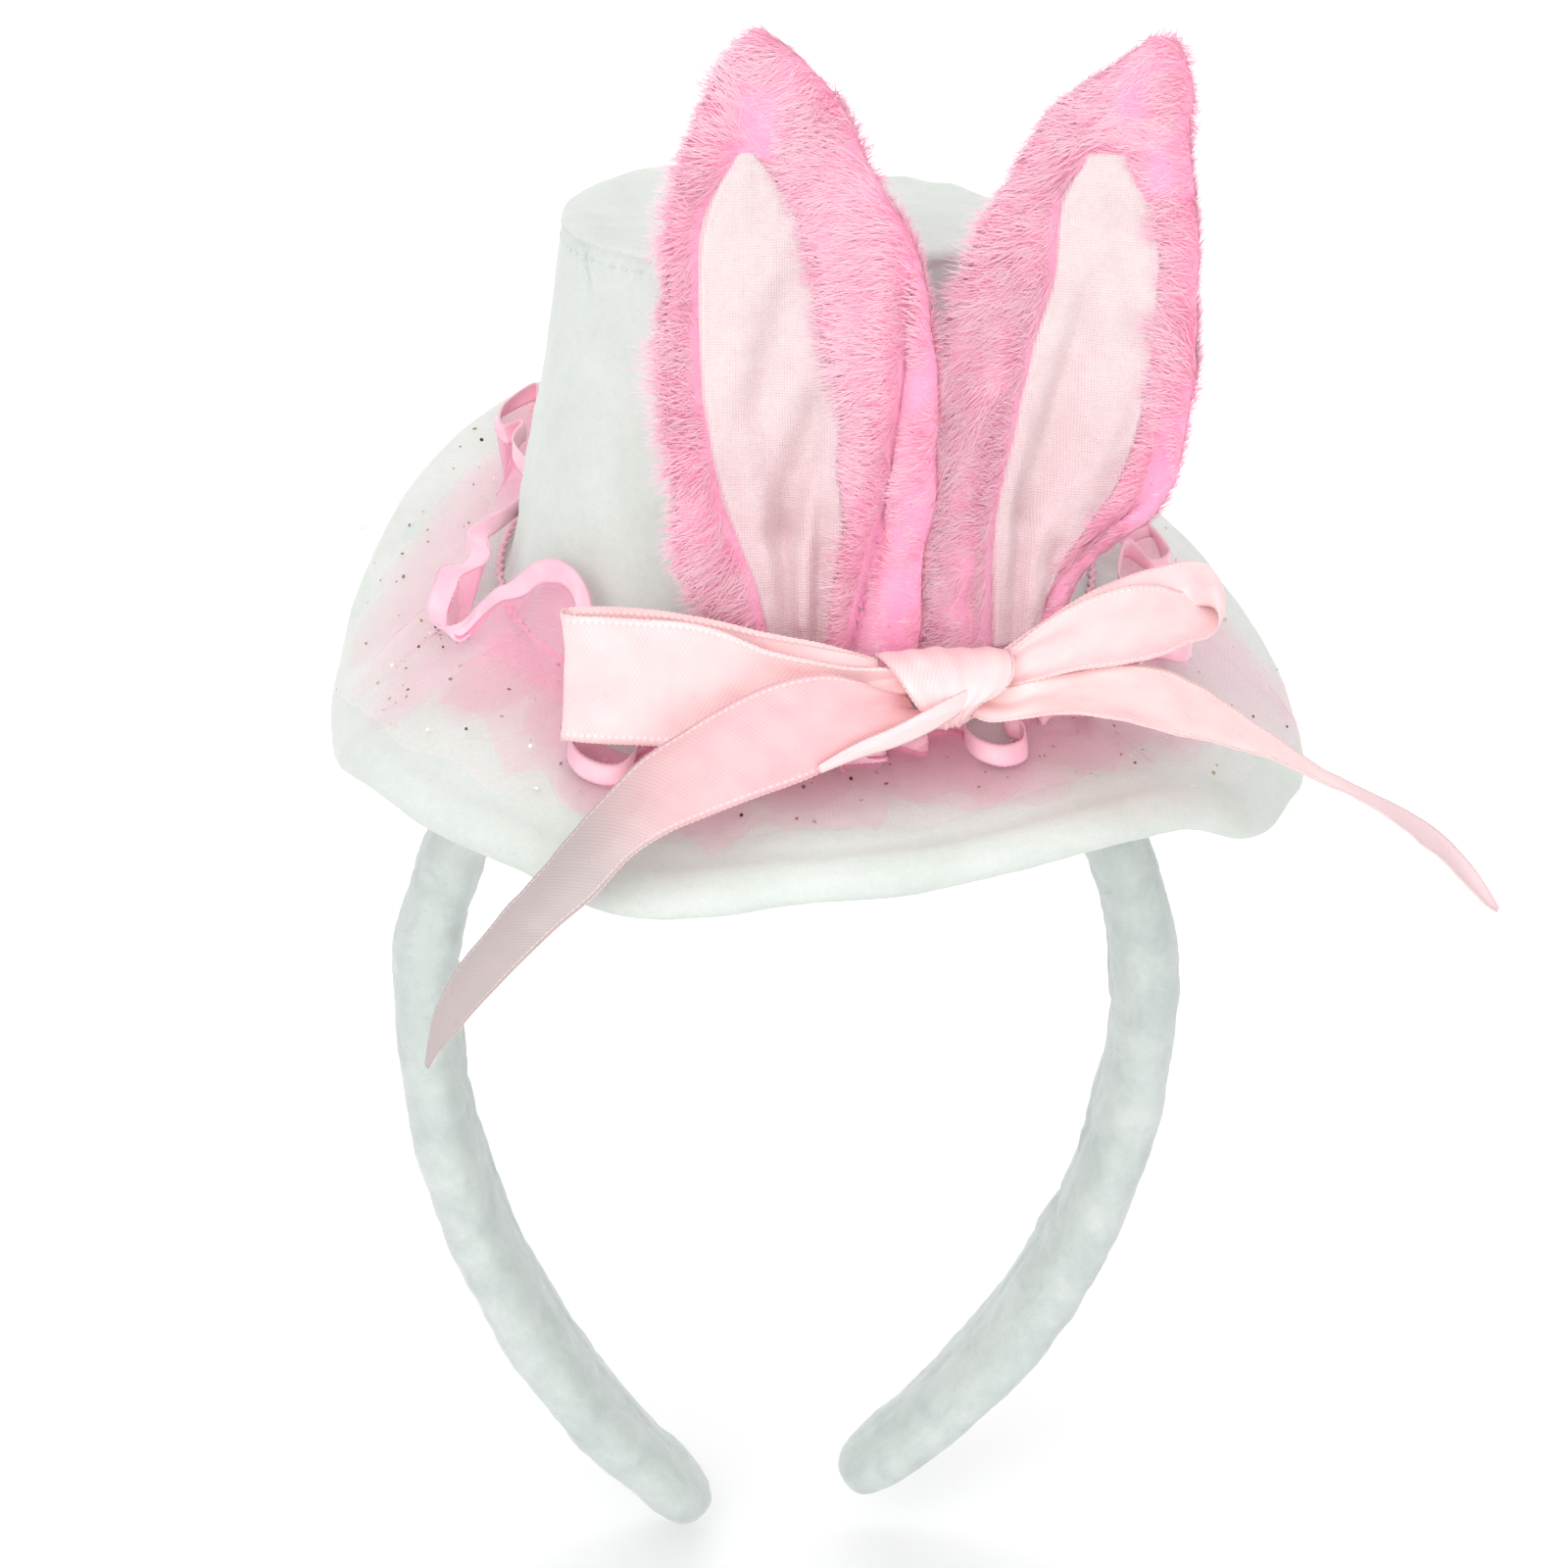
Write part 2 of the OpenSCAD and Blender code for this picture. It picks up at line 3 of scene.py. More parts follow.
import bpy
import numpy as np
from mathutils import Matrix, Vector


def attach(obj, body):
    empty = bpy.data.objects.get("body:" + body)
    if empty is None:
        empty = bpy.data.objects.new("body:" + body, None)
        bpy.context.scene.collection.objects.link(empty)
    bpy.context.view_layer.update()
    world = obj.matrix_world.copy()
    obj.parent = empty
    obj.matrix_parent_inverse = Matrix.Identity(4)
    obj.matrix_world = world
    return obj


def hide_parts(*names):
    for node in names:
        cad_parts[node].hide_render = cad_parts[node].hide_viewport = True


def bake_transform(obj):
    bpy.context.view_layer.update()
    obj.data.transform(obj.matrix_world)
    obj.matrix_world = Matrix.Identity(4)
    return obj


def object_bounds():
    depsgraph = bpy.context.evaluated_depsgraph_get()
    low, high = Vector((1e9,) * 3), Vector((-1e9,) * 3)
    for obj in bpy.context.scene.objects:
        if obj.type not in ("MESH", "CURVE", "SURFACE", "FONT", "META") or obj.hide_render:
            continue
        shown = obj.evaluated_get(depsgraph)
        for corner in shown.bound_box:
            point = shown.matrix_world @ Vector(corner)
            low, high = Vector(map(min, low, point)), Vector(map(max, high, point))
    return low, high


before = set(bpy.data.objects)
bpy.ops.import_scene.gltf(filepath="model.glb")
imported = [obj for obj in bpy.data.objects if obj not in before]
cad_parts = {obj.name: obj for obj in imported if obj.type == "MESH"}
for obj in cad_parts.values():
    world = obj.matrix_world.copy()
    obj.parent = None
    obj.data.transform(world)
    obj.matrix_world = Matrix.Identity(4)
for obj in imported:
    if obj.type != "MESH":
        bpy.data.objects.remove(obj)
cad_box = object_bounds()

MM = 0.001
rad, pi = math.radians, math.pi

# ---------------------------------------------------------------- numbers shared with part.scad
BAND_R, BAND_T, BAND_W = 55.0, 5.0, 10.0        # middle radius, half thickness, half width
LEFT_ARM = (120.0, 44.5)                        # radius and bend of each arm
RIGHT_ARM = (103.0, 50.5)
FLEX = 50.0
HAT_X, TILT = 1.5, math.tan(rad(13))
UNDER_Z, THICK = 63.0, 4.0
FLAT_R, BRIM_R = 45.0, 73.0
RIM_WAVES = [(36, 9, 30), (-20, -3, 16), (-54, 6, 18), (-138, 8, 26)]
RIM_SET = [(-3, 1.7, 13), (32, -2.2, 20), (58, -3.5, 11), (-48, -3.5, 13)]       # how the rim has settled
CROWN_R0, CROWN_R1, CROWN_TOP = 42.0, 33.0, 119.0
CUP_R, EAR_DEEP = 26.0, 6.5                     # cupped front of an ear, and how deep the ear is

# ---------------------------------------------------------------- numbers of the soft pieces, in mm
STITCH_IN = 4.6                                 # the brim's stitches, in from its rim
SEAM = 1.5                                      # an ear lining's edge that is turned in, on each side
HAIRS = 17000                                   # hairs on each face of an ear
RIBBON, LOOP_RIBBON, RIBBON_THICK = 16.5, 18.5, 0.3     # widths of the bow's ribbon, and its thickness
PICOT, PICOT_PITCH = 0.17, 0.75                 # beaded thread along the ribbon's edges
FRILL, UNDER_FRILL, NET = 27, 21, 31            # widths of the ruffle, the organza under the bow, the tulle
WHITE = (1, 1, 1, 1)


# ---------------------------------------------------------------- camera, stage and light
def camera():
    az, el, dist = rad(-1.23), rad(19.7), 0.527
    back = Vector((math.sin(az) * math.cos(el), -math.cos(az) * math.cos(el), math.sin(el)))
    cam = bpy.data.objects.new("camera", bpy.data.cameras.new("camera"))
    bpy.context.scene.collection.objects.link(cam)
    cam.data.lens, cam.data.sensor_width = 80.5, 36
    cam.location = Vector((-0.0003, 0, 0.0332)) + back * dist
    cam.rotation_euler = (-back).to_track_quat("-Z", "Y").to_euler()
    bpy.context.scene.camera = cam


def light(name, at, aim, size, power, colour=(1, 1, 1)):
    lamp = bpy.data.objects.new(name, bpy.data.lights.new(name, "AREA"))
    bpy.context.scene.collection.objects.link(lamp)
    lamp.data.shape, lamp.data.size, lamp.data.energy, lamp.data.color = "DISK", size, power, colour
    lamp.location = at
    lamp.rotation_euler = (Vector(aim) - Vector(at)).to_track_quat("-Z", "Y").to_euler()


# ---------------------------------------------------------------- mesh helpers, all in millimetres
def build(name, co, faces, material, uv=None, smooth=True):
    """A mesh object from points in mm and arrays of equal-sized polygons."""
    groups = faces if isinstance(faces, list) else [faces]
    loops = np.concatenate([g.ravel() for g in groups]).astype(np.int32)
    sizes = np.concatenate([np.full(len(g), g.shape[1]) for g in groups])
    me = bpy.data.meshes.new(name)
    me.vertices.add(len(co))
    me.vertices.foreach_set("co", (np.asarray(co) * MM).astype(np.float32).ravel())
    me.loops.add(len(loops))
    me.loops.foreach_set("vertex_index", loops)
    me.polygons.add(len(sizes))
    me.polygons.foreach_set("loop_start", np.concatenate([[0], np.cumsum(sizes)[:-1]]).astype(np.int32))
    me.update(calc_edges=True)
    me.polygons.foreach_set("use_smooth", np.full(len(sizes), smooth))
    if uv is not None:
        layer = me.uv_layers.new(name="flat")
        layer.data.foreach_set("uv", np.asarray(uv)[loops].astype(np.float32).ravel())
    me.materials.append(material)
    me.validate()
    ob = bpy.data.objects.new(name, me)
    bpy.context.scene.collection.objects.link(ob)
    return ob


def grid_faces(rows, cols, wrap=False, start=0, flip=False):
    i = np.arange(rows - 1)[:, None]
    j = np.arange(cols if wrap else cols - 1)[None, :]
    k = (j + 1) % cols
    q = np.stack([i * cols + j, i * cols + k, (i + 1) * cols + k, (i + 1) * cols + j], -1)
    q = q.reshape(-1, 4) + start
    return q[:, ::-1] if flip else q


def unit(v):
    return v / np.maximum(np.linalg.norm(v, axis=-1, keepdims=True), 1e-9)


def normals(G, wrap=False):
    """Normals of a grid of points. wrap: its columns close on themselves."""
    du = (np.roll(G, -1, 1) - np.roll(G, 1, 1)) if wrap else np.gradient(G, axis=1)
    return unit(np.cross(du, np.gradient(G, axis=0)))


def wobble(P, size, seed, waves=20):
    """Smooth noise of about -1 to 1 with features of that size in mm."""
    r = np.random.default_rng(seed)
    k = unit(r.normal(size=(waves, 3))) * (2 * pi / size) * r.uniform(0.6, 1.5, (waves, 1))
    value = np.sin(P.reshape(-1, 3) @ k.T + r.uniform(0, 2 * pi, waves)).sum(1) * math.sqrt(2 / waves)
    return value.reshape(P.shape[:-1])


def bump(x, width):
    return np.exp(-(x / width) ** 2)


def smoothstep(x, lo, hi):
    t = np.clip((x - lo) / (hi - lo), 0, 1)
    return t * t * (3 - 2 * t)


def spline(points, steps):
    """A smooth curve through rows of numbers (Catmull-Rom)."""
    P = np.asarray(points, float)
    Q = np.vstack([P[:1], P, P[-1:]])
    t = np.linspace(0, 1, steps, endpoint=False)[:, None]
    out = [0.5 * (2 * b + (c - a) * t + (2 * a - 5 * b + 4 * c - d) * t**2 + (3 * b - a - 3 * c + d) * t**3)
           for a, b, c, d in zip(Q[:-3], Q[1:-2], Q[2:-1], Q[3:])]
    return np.vstack(out + [P[-1:]])


def along(table, x):
    """A smooth line through (x, value) pairs, read at x."""
    t = np.asarray(table, float)
    fine = spline(t, 12)
    return np.interp(x, fine[:, 0], fine[:, 1])


def lengths(line):
    """Distance along a line of points, from its start."""
    return np.concatenate([[0], np.cumsum(np.linalg.norm(np.diff(line, axis=0), axis=1))])


def pair(u, v):
    """A grid of (u, v) from two arrays that broadcast together."""
    return np.stack(np.broadcast_arrays(u, v), -1)


def drum_faces(rows, cols):
    """Faces of a grid that closes round and is capped at its first and last row."""
    ring = np.arange(cols)[None, :]
    return [grid_faces(rows, cols, True), ring[:, ::-1], (rows - 1) * cols + ring]


def shell(name, G, thick, material, wrap=False, uv=None):
    """A closed sheet of that thickness round a grid of points."""
    rows, cols = G.shape[:2]
    N = normals(G, wrap)
    n, last = rows * cols, (rows - 1) * cols
    co = np.vstack([(G + N * thick / 2).reshape(-1, 3), (G - N * thick / 2).reshape(-1, 3)])
    faces = [grid_faces(rows, cols, wrap), grid_faces(rows, cols, wrap, n, True)]
    ring, side = np.arange(cols), np.arange(1, rows) * cols
    if wrap:
        rims = [ring, last + ring[::-1]]
    else:
        rims = [np.concatenate([ring, side + cols - 1, last + ring[-2::-1], side[-2::-1]])]
    for line in rims:
        nxt = np.roll(line, -1)
        faces.append(np.stack([line, line + n, nxt + n, nxt], -1))
    uv2 = None if uv is None else np.vstack([uv.reshape(-1, 2)] * 2)
    return build(name, co, faces, material, uv2)


def cloth(name, G, material, uv, wrap=False):
    """One sheet without thickness, for stuff that can be seen through."""
    n, m = G.shape[:2]
    return build(name, G.reshape(-1, 3), grid_faces(n, m, wrap), material, uv.reshape(-1, 2))


def rings(P, radii, sides, aside):
    """Rings of points round a line. aside: any direction that the line doesn't take."""
    T = unit(np.gradient(P, axis=0))
    A = unit(np.cross(T, np.array(aside)))
    B = np.cross(T, A)
    ang = np.arange(sides) * 2 * pi / sides
    spokes = np.cos(ang)[None, :, None] * A[:, None] + np.sin(ang)[None, :, None] * B[:, None]
    return P[:, None] + spokes * radii[:, None, None]


def stitch(P, radius):
    """Rings of a short thread, tapered at both ends."""
    taper = np.ones(len(P))
    taper[0] = taper[-1] = 0.45
    return rings(P, radius * taper, 6, (0.31, 0.17, 0.93))


def beads(line, radius, pitch, sides=6):
    """Rings of a beaded thread along a line."""
    L = lengths(line)
    s = np.linspace(0, L[-1], max(int(L[-1] / pitch * 4), 8))
    Q = np.stack([np.interp(s, L, line[:, k]) for k in range(3)], -1)
    radii = radius * (0.70 + 0.30 * np.cos(2 * pi * s / pitch))
    radii[0] = radii[-1] = radius * 0.4
    return rings(Q, radii, sides, (0.13, 0.41, 0.9))


def threads_object(name, threads, material, uv=True):
    """One object of many closed threads, each given as rings of points."""
    faces, ends, flat, start = [], [], [], 0
    for ring in threads:
        n, s = ring.shape[:2]
        faces.append(grid_faces(n, s, True, start))
        ends += [start + np.arange(s)[::-1], start + (n - 1) * s + np.arange(s)]
        flat.append(pair(np.arange(s) * 0.3, np.arange(n)[:, None] * 0.2).reshape(-1, 2))
        start += n * s
    co = np.vstack([ring.reshape(-1, 3) for ring in threads])
    return build(name, co, faces + [np.array(ends)], material, np.vstack(flat) if uv else None)


# ---------------------------------------------------------------- materials
def srgb(r, g, b):
    """A colour read off a screen, as the linear light that a shader takes."""
    linear = [c / 255 / 12.92 if c <= 10.3 else ((c / 255 + 0.055) / 1.055) ** 2.4 for c in (r, g, b)]
    return (*linear, 1.0)


class Look:
    """A node material with a Principled shader."""

    def __init__(self, name, rough=0.9, sheen=0.0, sheen_rough=0.5, specular=0.3, **more):
        self.m = bpy.data.materials.new(name)
        self.m.use_nodes = True
        self.t = self.m.node_tree
        self.bsdf = self.t.nodes["Principled BSDF"]
        self.set("Roughness", rough)
        self.set("Sheen Weight", sheen)
        self.set("Sheen Roughness", sheen_rough)
        self.set("Specular IOR Level", specular)
        for k, v in more.items():
            self.set(k.replace("_", " "), v)
        self.coords = self.node("ShaderNodeTexCoord")
        self.bumped = None

    def set(self, name, value):
        self.bsdf.inputs[name].default_value = value

    def node(self, kind, props=(), **inputs):
        n = self.t.nodes.new(kind)
        for k, v in dict(props).items():
            setattr(n, k, v)
        for k, v in inputs.items():
            by_number = k[0] == "i" and k[1:].isdigit()
            socket = n.inputs[int(k[1:]) if by_number else k.replace("_", " ")]
            if isinstance(v, bpy.types.NodeSocket):
                self.t.links.new(v, socket)
            else:
                socket.default_value = v
        return n

    def link(self, out, name):
        self.t.links.new(out, self.bsdf.inputs[name])

    def noise(self, scale, detail=3.0, rough=0.6, stretch=None, space="Object", distortion=0.0):
        at = self.coords.outputs[space]
        if stretch:
            at = self.node("ShaderNodeMapping", Vector=at, Scale=stretch).outputs[0]
        return self.node("ShaderNodeTexNoise", Vector=at, Scale=scale, Detail=detail, Roughness=rough,
                         Distortion=distortion).outputs["Fac"]

    def ramp(self, fac, stops):
        r = self.node("ShaderNodeValToRGB", Fac=fac)
        while len(r.color_ramp.elements) < len(stops):
            r.color_ramp.elements.new(0.5)
        for e, (p, c) in zip(r.color_ramp.elements, stops):
            e.position, e.color = p, c if hasattr(c, "__len__") else (c, c, c, 1)
        return r.outputs[0]

    def mix(self, fac, a, b, how="MIX"):
        n = self.node("ShaderNodeMix", {"data_type": "RGBA", "blend_type": how})
        for socket, v in ((n.inputs[0], fac), (n.inputs[6], a), (n.inputs[7], b)):
            if isinstance(v, bpy.types.NodeSocket):
                self.t.links.new(v, socket)
            else:
                socket.default_value = v
        return n.outputs[2]

    def maths(self, how, a, b=0.0, c=0.0):
        return self.node("ShaderNodeMath", {"operation": how}, i0=a, i1=b, i2=c).outputs[0]

    def relief(self, height, distance, strength=1.0):
        n = self.node("ShaderNodeBump", Height=height, Distance=distance, Strength=strength)
        if self.bumped is not None:
            self.t.links.new(self.bumped, n.inputs["Normal"])
        self.bumped = n.outputs[0]
        self.link(self.bumped, "Normal")

    def uv(self):
        """The two sockets of the UV map, which is in millimetres."""
        return self.node("ShaderNodeSeparateXYZ", Vector=self.coords.outputs["UV"]).outputs[:2]

    def wave(self, x, pitch):
        """From 0 to 1 and back in each pitch of x."""
        s = self.maths("SINE", self.maths("MULTIPLY", x, 2 * pi / pitch))
        return self.maths("MULTIPLY_ADD", s, 0.5, 0.5)

    def times(self, base, tint, fac=1.0):
        return self.mix(fac, base, tint, "MULTIPLY")


def felt_look(name, light_c, dark_c, patch=70, sheen=0.35, crush=0.0):
    k = Look(name, rough=0.95, sheen=sheen, sheen_rough=0.45, specular=0.15)
    fibre = k.noise(2600, 4, 0.7)
    tuft = k.noise(700, 3, 0.6)
    wide = k.noise(patch, 3, 0.55, distortion=0.6)
    base = k.ramp(wide, [(0.32, dark_c), (0.66, light_c)])
    base = k.times(base, k.ramp(tuft, [(0.30, 0.965), (0.60, 1.0)]))
    k.link(k.times(base, k.ramp(fibre, [(0.28, 0.94), (0.55, 1.0)])), "Base Color")
    if crush:
        k.relief(k.noise(150, 3, 0.6, distortion=1.4), crush)
    k.relief(tuft, 0.00012, 0.5)
    k.relief(fibre, 0.00010, 0.6)
    return k.m


def fur_base_look():
    k = Look("ear_backing", rough=0.9, sheen=0.5, specular=0.2)
    base = k.ramp(k.noise(120, 3), [(0.3, srgb(251, 158, 196)), (0.7, srgb(252, 176, 208))])
    specks = k.ramp(k.noise(1500, 2), [(0.26, srgb(236, 170, 200)), (0.34, WHITE)])
    k.link(k.times(base, specks), "Base Color")
    k.relief(k.noise(1200, 4, 0.7), 0.0004)
    return k.m


def pile_look(name, root, middle, tip):
    """Colour along each hair from the v of its UV map, and a shade of its own from the u."""
    k = Look(name, rough=0.62, sheen=0.5, specular=0.25)
    u, v = k.uv()
    base = k.ramp(v, [(0.0, root), (0.45, middle), (1.0, tip)])
    own = k.ramp(u, [(0.0, (0.98, 0.74, 0.86, 1)), (0.45, (0.99, 0.91, 0.95, 1)), (1.0, WHITE)])
    tuft = k.ramp(k.noise(260, 3, 0.6), [(0.30, (1.0, 0.92, 0.96, 1)), (0.60, WHITE)])
    k.link(k.times(k.times(base, own), tuft), "Base Color")
    return k.m


def lining_look():
    """Woven cloth, with painted shade that makes it darker and pinker towards its foot."""
    k = Look("ear_lining_cloth", rough=0.88, sheen=0.3, specular=0.2)
    pitch, tall = 0.36, 60
    warp, weft = [k.wave(x, pitch) for x in k.uv()]
    slub = k.noise(900, 3, 0.7)
    base = k.ramp(k.noise(60, 3), [(0.3, srgb(230, 213, 214)), (0.7, srgb(238, 226, 226))])
    # painted shade and painted pink light bounced off the fur: the cloth darkens and turns pinker towards
    # its foot
    up = k.maths("DIVIDE", k.uv()[1], tall)
    painted_foot_shade = k.ramp(up, [(0.0, (0.97, 0.84, 0.88, 1)), (0.55, (1, 0.97, 0.98, 1)), (1.0, WHITE)])
    base = k.times(base, painted_foot_shade)
    cross = k.maths("MULTIPLY", warp, weft)
    lines = k.ramp(k.maths("MULTIPLY_ADD", slub, 0.5, cross), [(0.18, srgb(238, 208, 214)), (0.50, WHITE)])
    k.link(k.times(base, lines, 0.5), "Base Color")
    k.relief(k.maths("ADD", warp, weft), 0.00007, 0.8)
    k.relief(slub, 0.00012, 0.8)
    return k.m


def satin_look(name, light_c, dark_c, pitch=0.56, stitched=True, painted_shade=None):
    """Satin ribbon: UV u runs across it and v along it, both in mm.

    stitched: a row of small stitches runs inside each edge. The last argument gives (where it starts, where
    it is full, colour) of painted shade on a part that lies turned away from the light.
    """
    k = Look(name, rough=0.30, sheen=0.2, sheen_rough=0.3, specular=0.6, Anisotropic=0.4)
    u, v = k.uv()
    twill = k.wave(k.maths("ADD", k.maths("MULTIPLY", u, 0.55), v), pitch)
    soft = k.noise(0.16, 2, 0.5, space="UV")
    base = k.ramp(soft, [(0.32, dark_c), (0.66, light_c)])
    # painted shade: along v the ribbon turns towards a greyer colour, where it lies turned away from the
    # light
    if painted_shade:
        start, end, shade_c = painted_shade
        shade_share = k.maths("DIVIDE", k.maths("SUBTRACT", v, start), end - start)
        base = k.mix(k.ramp(shade_share, [(0.0, 0.0), (1.0, 1.0)]), base, shade_c)
    base = k.times(base, k.ramp(twill, [(0.05, 0.90), (0.60, 1.0)]))
    if stitched:
        from_edge, stitch_pitch, sharp = 0.75, 0.95, 2.6
        off_middle = k.maths("ABSOLUTE", k.maths("SUBTRACT", u, RIBBON / 2))
        off_row = k.maths("SUBTRACT", k.maths("SUBTRACT", RIBBON / 2, off_middle), from_edge)
        off_row = k.maths("ABSOLUTE", k.maths("MULTIPLY", off_row, sharp))
        near = k.maths("SUBTRACT", 1.0, k.maths("MINIMUM", off_row, 1.0))
        dash = k.wave(v, stitch_pitch)
        dot = k.maths("MULTIPLY", near, dash)
        gap = k.maths("MULTIPLY", near, k.maths("SUBTRACT", 1.0, dash))
        base = k.mix(k.maths("MULTIPLY", gap, 0.35), base, srgb(240, 184, 190))
        base = k.mix(k.maths("MULTIPLY", dot, 0.55), base, srgb(255, 244, 242))
        k.relief(dot, 0.00012, 0.8)
    k.link(base, "Base Color")
    k.relief(twill, 0.00002, 0.5)
    k.link(k.ramp(soft, [(0.3, 0.26), (0.7, 0.36)]), "Roughness")
    return k.m


def sheer_look(name, light_c, deep_c, pitch, fade, net_share):
    """Organza or tulle. fade gives how much it hides at each share of v, from the gathers outwards."""
    k = Look(name, rough=0.5, sheen=0.6, specular=0.35)
    u, v = k.uv()
    net = k.maths("MAXIMUM", *[k.maths("POWER", k.wave(x, pitch), 2.0) for x in (u, v)])
    cloud = k.noise(70, 2)
    k.link(k.ramp(cloud, [(0.3, deep_c), (0.7, light_c)]), "Base Color")
    span, stops = fade
    hide = k.ramp(k.maths("DIVIDE", v, span), stops)
    grain = k.maths("MULTIPLY_ADD", net, net_share, 1 - net_share)
    hide = k.maths("MULTIPLY", k.maths("MULTIPLY", hide, grain), k.ramp(cloud, [(0.25, 0.75), (0.65, 1.0)]))
    k.link(hide, "Alpha")
    k.relief(net, 0.00004, 0.5)
    return k.m


def glitter_look():
    k = Look("glitter", rough=0.22, specular=0.6, Metallic=0.85)
    shades = [(0.30, (96, 66, 50)), (0.42, (190, 150, 110)), (0.5, (235, 225, 215)), (0.6, (240, 190, 200)),
              (0.7, (120, 84, 70))]
    k.link(k.ramp(k.noise(340, 0), [(at, srgb(*c)) for at, c in shades]), "Base Color")
    return k.m


HAT_FELT = felt_look("hat_felt", srgb(217, 222, 217), srgb(210, 216, 210))
VELOUR = felt_look("band_velour", srgb(207, 213, 210), srgb(190, 198, 195), patch=130, sheen=0.5,
                   crush=0.0005)
THREAD = felt_look("white_thread", srgb(236, 240, 236), srgb(216, 223, 218), patch=400, sheen=0.2)
BACKING = fur_base_look()
PILE = pile_look("ear_pile", srgb(252, 172, 201), srgb(252, 200, 216), srgb(252, 230, 236))
LINING = lining_look()
SATIN = satin_look("bow_satin", srgb(255, 217, 217), srgb(254, 206, 208))
# painted shade: the left tail is the bow's satin painted darker, and greyer still where it turns away from
# the light
LEFT_TAIL_SATIN_PAINTED_SHADE = satin_look("bow_tail_satin_painted_shade", srgb(243, 189, 193), srgb(238, 178, 183),
                        painted_shade=(28, 50, srgb(185, 171, 170)))
# painted light and shade: the right tail is the bow's satin painted a little lighter, and darker towards its
# end, where it turns away from the light
RIGHT_TAIL_SATIN_PAINTED_SHADE = satin_look("bow_right_tail_satin", srgb(255, 222, 220), srgb(255, 211, 211),
                              painted_shade=(45, 70, srgb(236, 206, 210)))
EDGE_SATIN = satin_look("ruffle_satin", srgb(255, 206, 220), srgb(254, 188, 208), 0.35, stitched=False)
ORGANZA = sheer_look("ruffle_organza", srgb(255, 158, 196), srgb(255, 132, 178), 0.38,
                     (27, [(0.0, 0.62), (0.30, 0.48), (0.55, 0.30), (0.85, 0.20), (1.0, 0.08)]), 0.25)
# painted light: the organza under the bow is a lighter copy of the ruffle's organza, to make up for the
# bow's shadow on it
UNDER_ORGANZA_PAINTED_LIGHT = sheer_look("ruffle_organza_under", srgb(255, 176, 204), srgb(255, 150, 188), 0.38,
                           (27, [(0.0, 0.38), (0.30, 0.33), (0.60, 0.25), (1.0, 0.14)]), 0.25)
TULLE = sheer_look("glitter_tulle", srgb(255, 238, 242), srgb(252, 226, 234), 0.6,
                   (76, [(0.55, 0.20), (0.80, 0.16), (0.95, 0.18), (1.0, 0.22)]), 0.45)
GLITTER = glitter_look()


# ---------------------------------------------------------------- the brim's shape, as in part.scad
def turned(a):
    return (a + 180) % 360 - 180


def rim_r(a):
    return BRIM_R + 2 * np.sin(np.radians(a)) - 2.3 * bump(turned(a + 88), 22)


def rim_z(a):
    s, c = np.sin(np.radians(a)), np.cos(np.radians(a))
    z = 56 - 17 * c - 15 * s**4 - 3 * s
    for mid, lift, spread in RIM_WAVES + RIM_SET:
        z = z + lift * bump(turned(a - mid), spread)
    return z


def brim_z(r, a):
    """Underside of the brim at radius r and angle a, in degrees from the front towards +X."""
    flat = UNDER_Z - TILT * r * np.cos(np.radians(a))
    end = UNDER_Z - TILT * rim_r(a) * np.cos(np.radians(a))
    past = np.clip((r - FLAT_R) / (rim_r(a) - FLAT_R), 0, None)
    return flat + (rim_z(a) - end) * past**1.4


def polar(r, a, z):
    t = np.radians(a)
    return np.stack(np.broadcast_arrays(HAT_X + r * np.sin(t), -r * np.cos(t), z), -1)


def brim_top(r, a):
    return brim_z(r, a) + THICK


# ---------------------------------------------------------------- hat
def sway(P, r):
    """How far the finished brim strays up or down."""
    return 0.25 * wobble(P, 48, 7) * smoothstep(r, 48, 72)


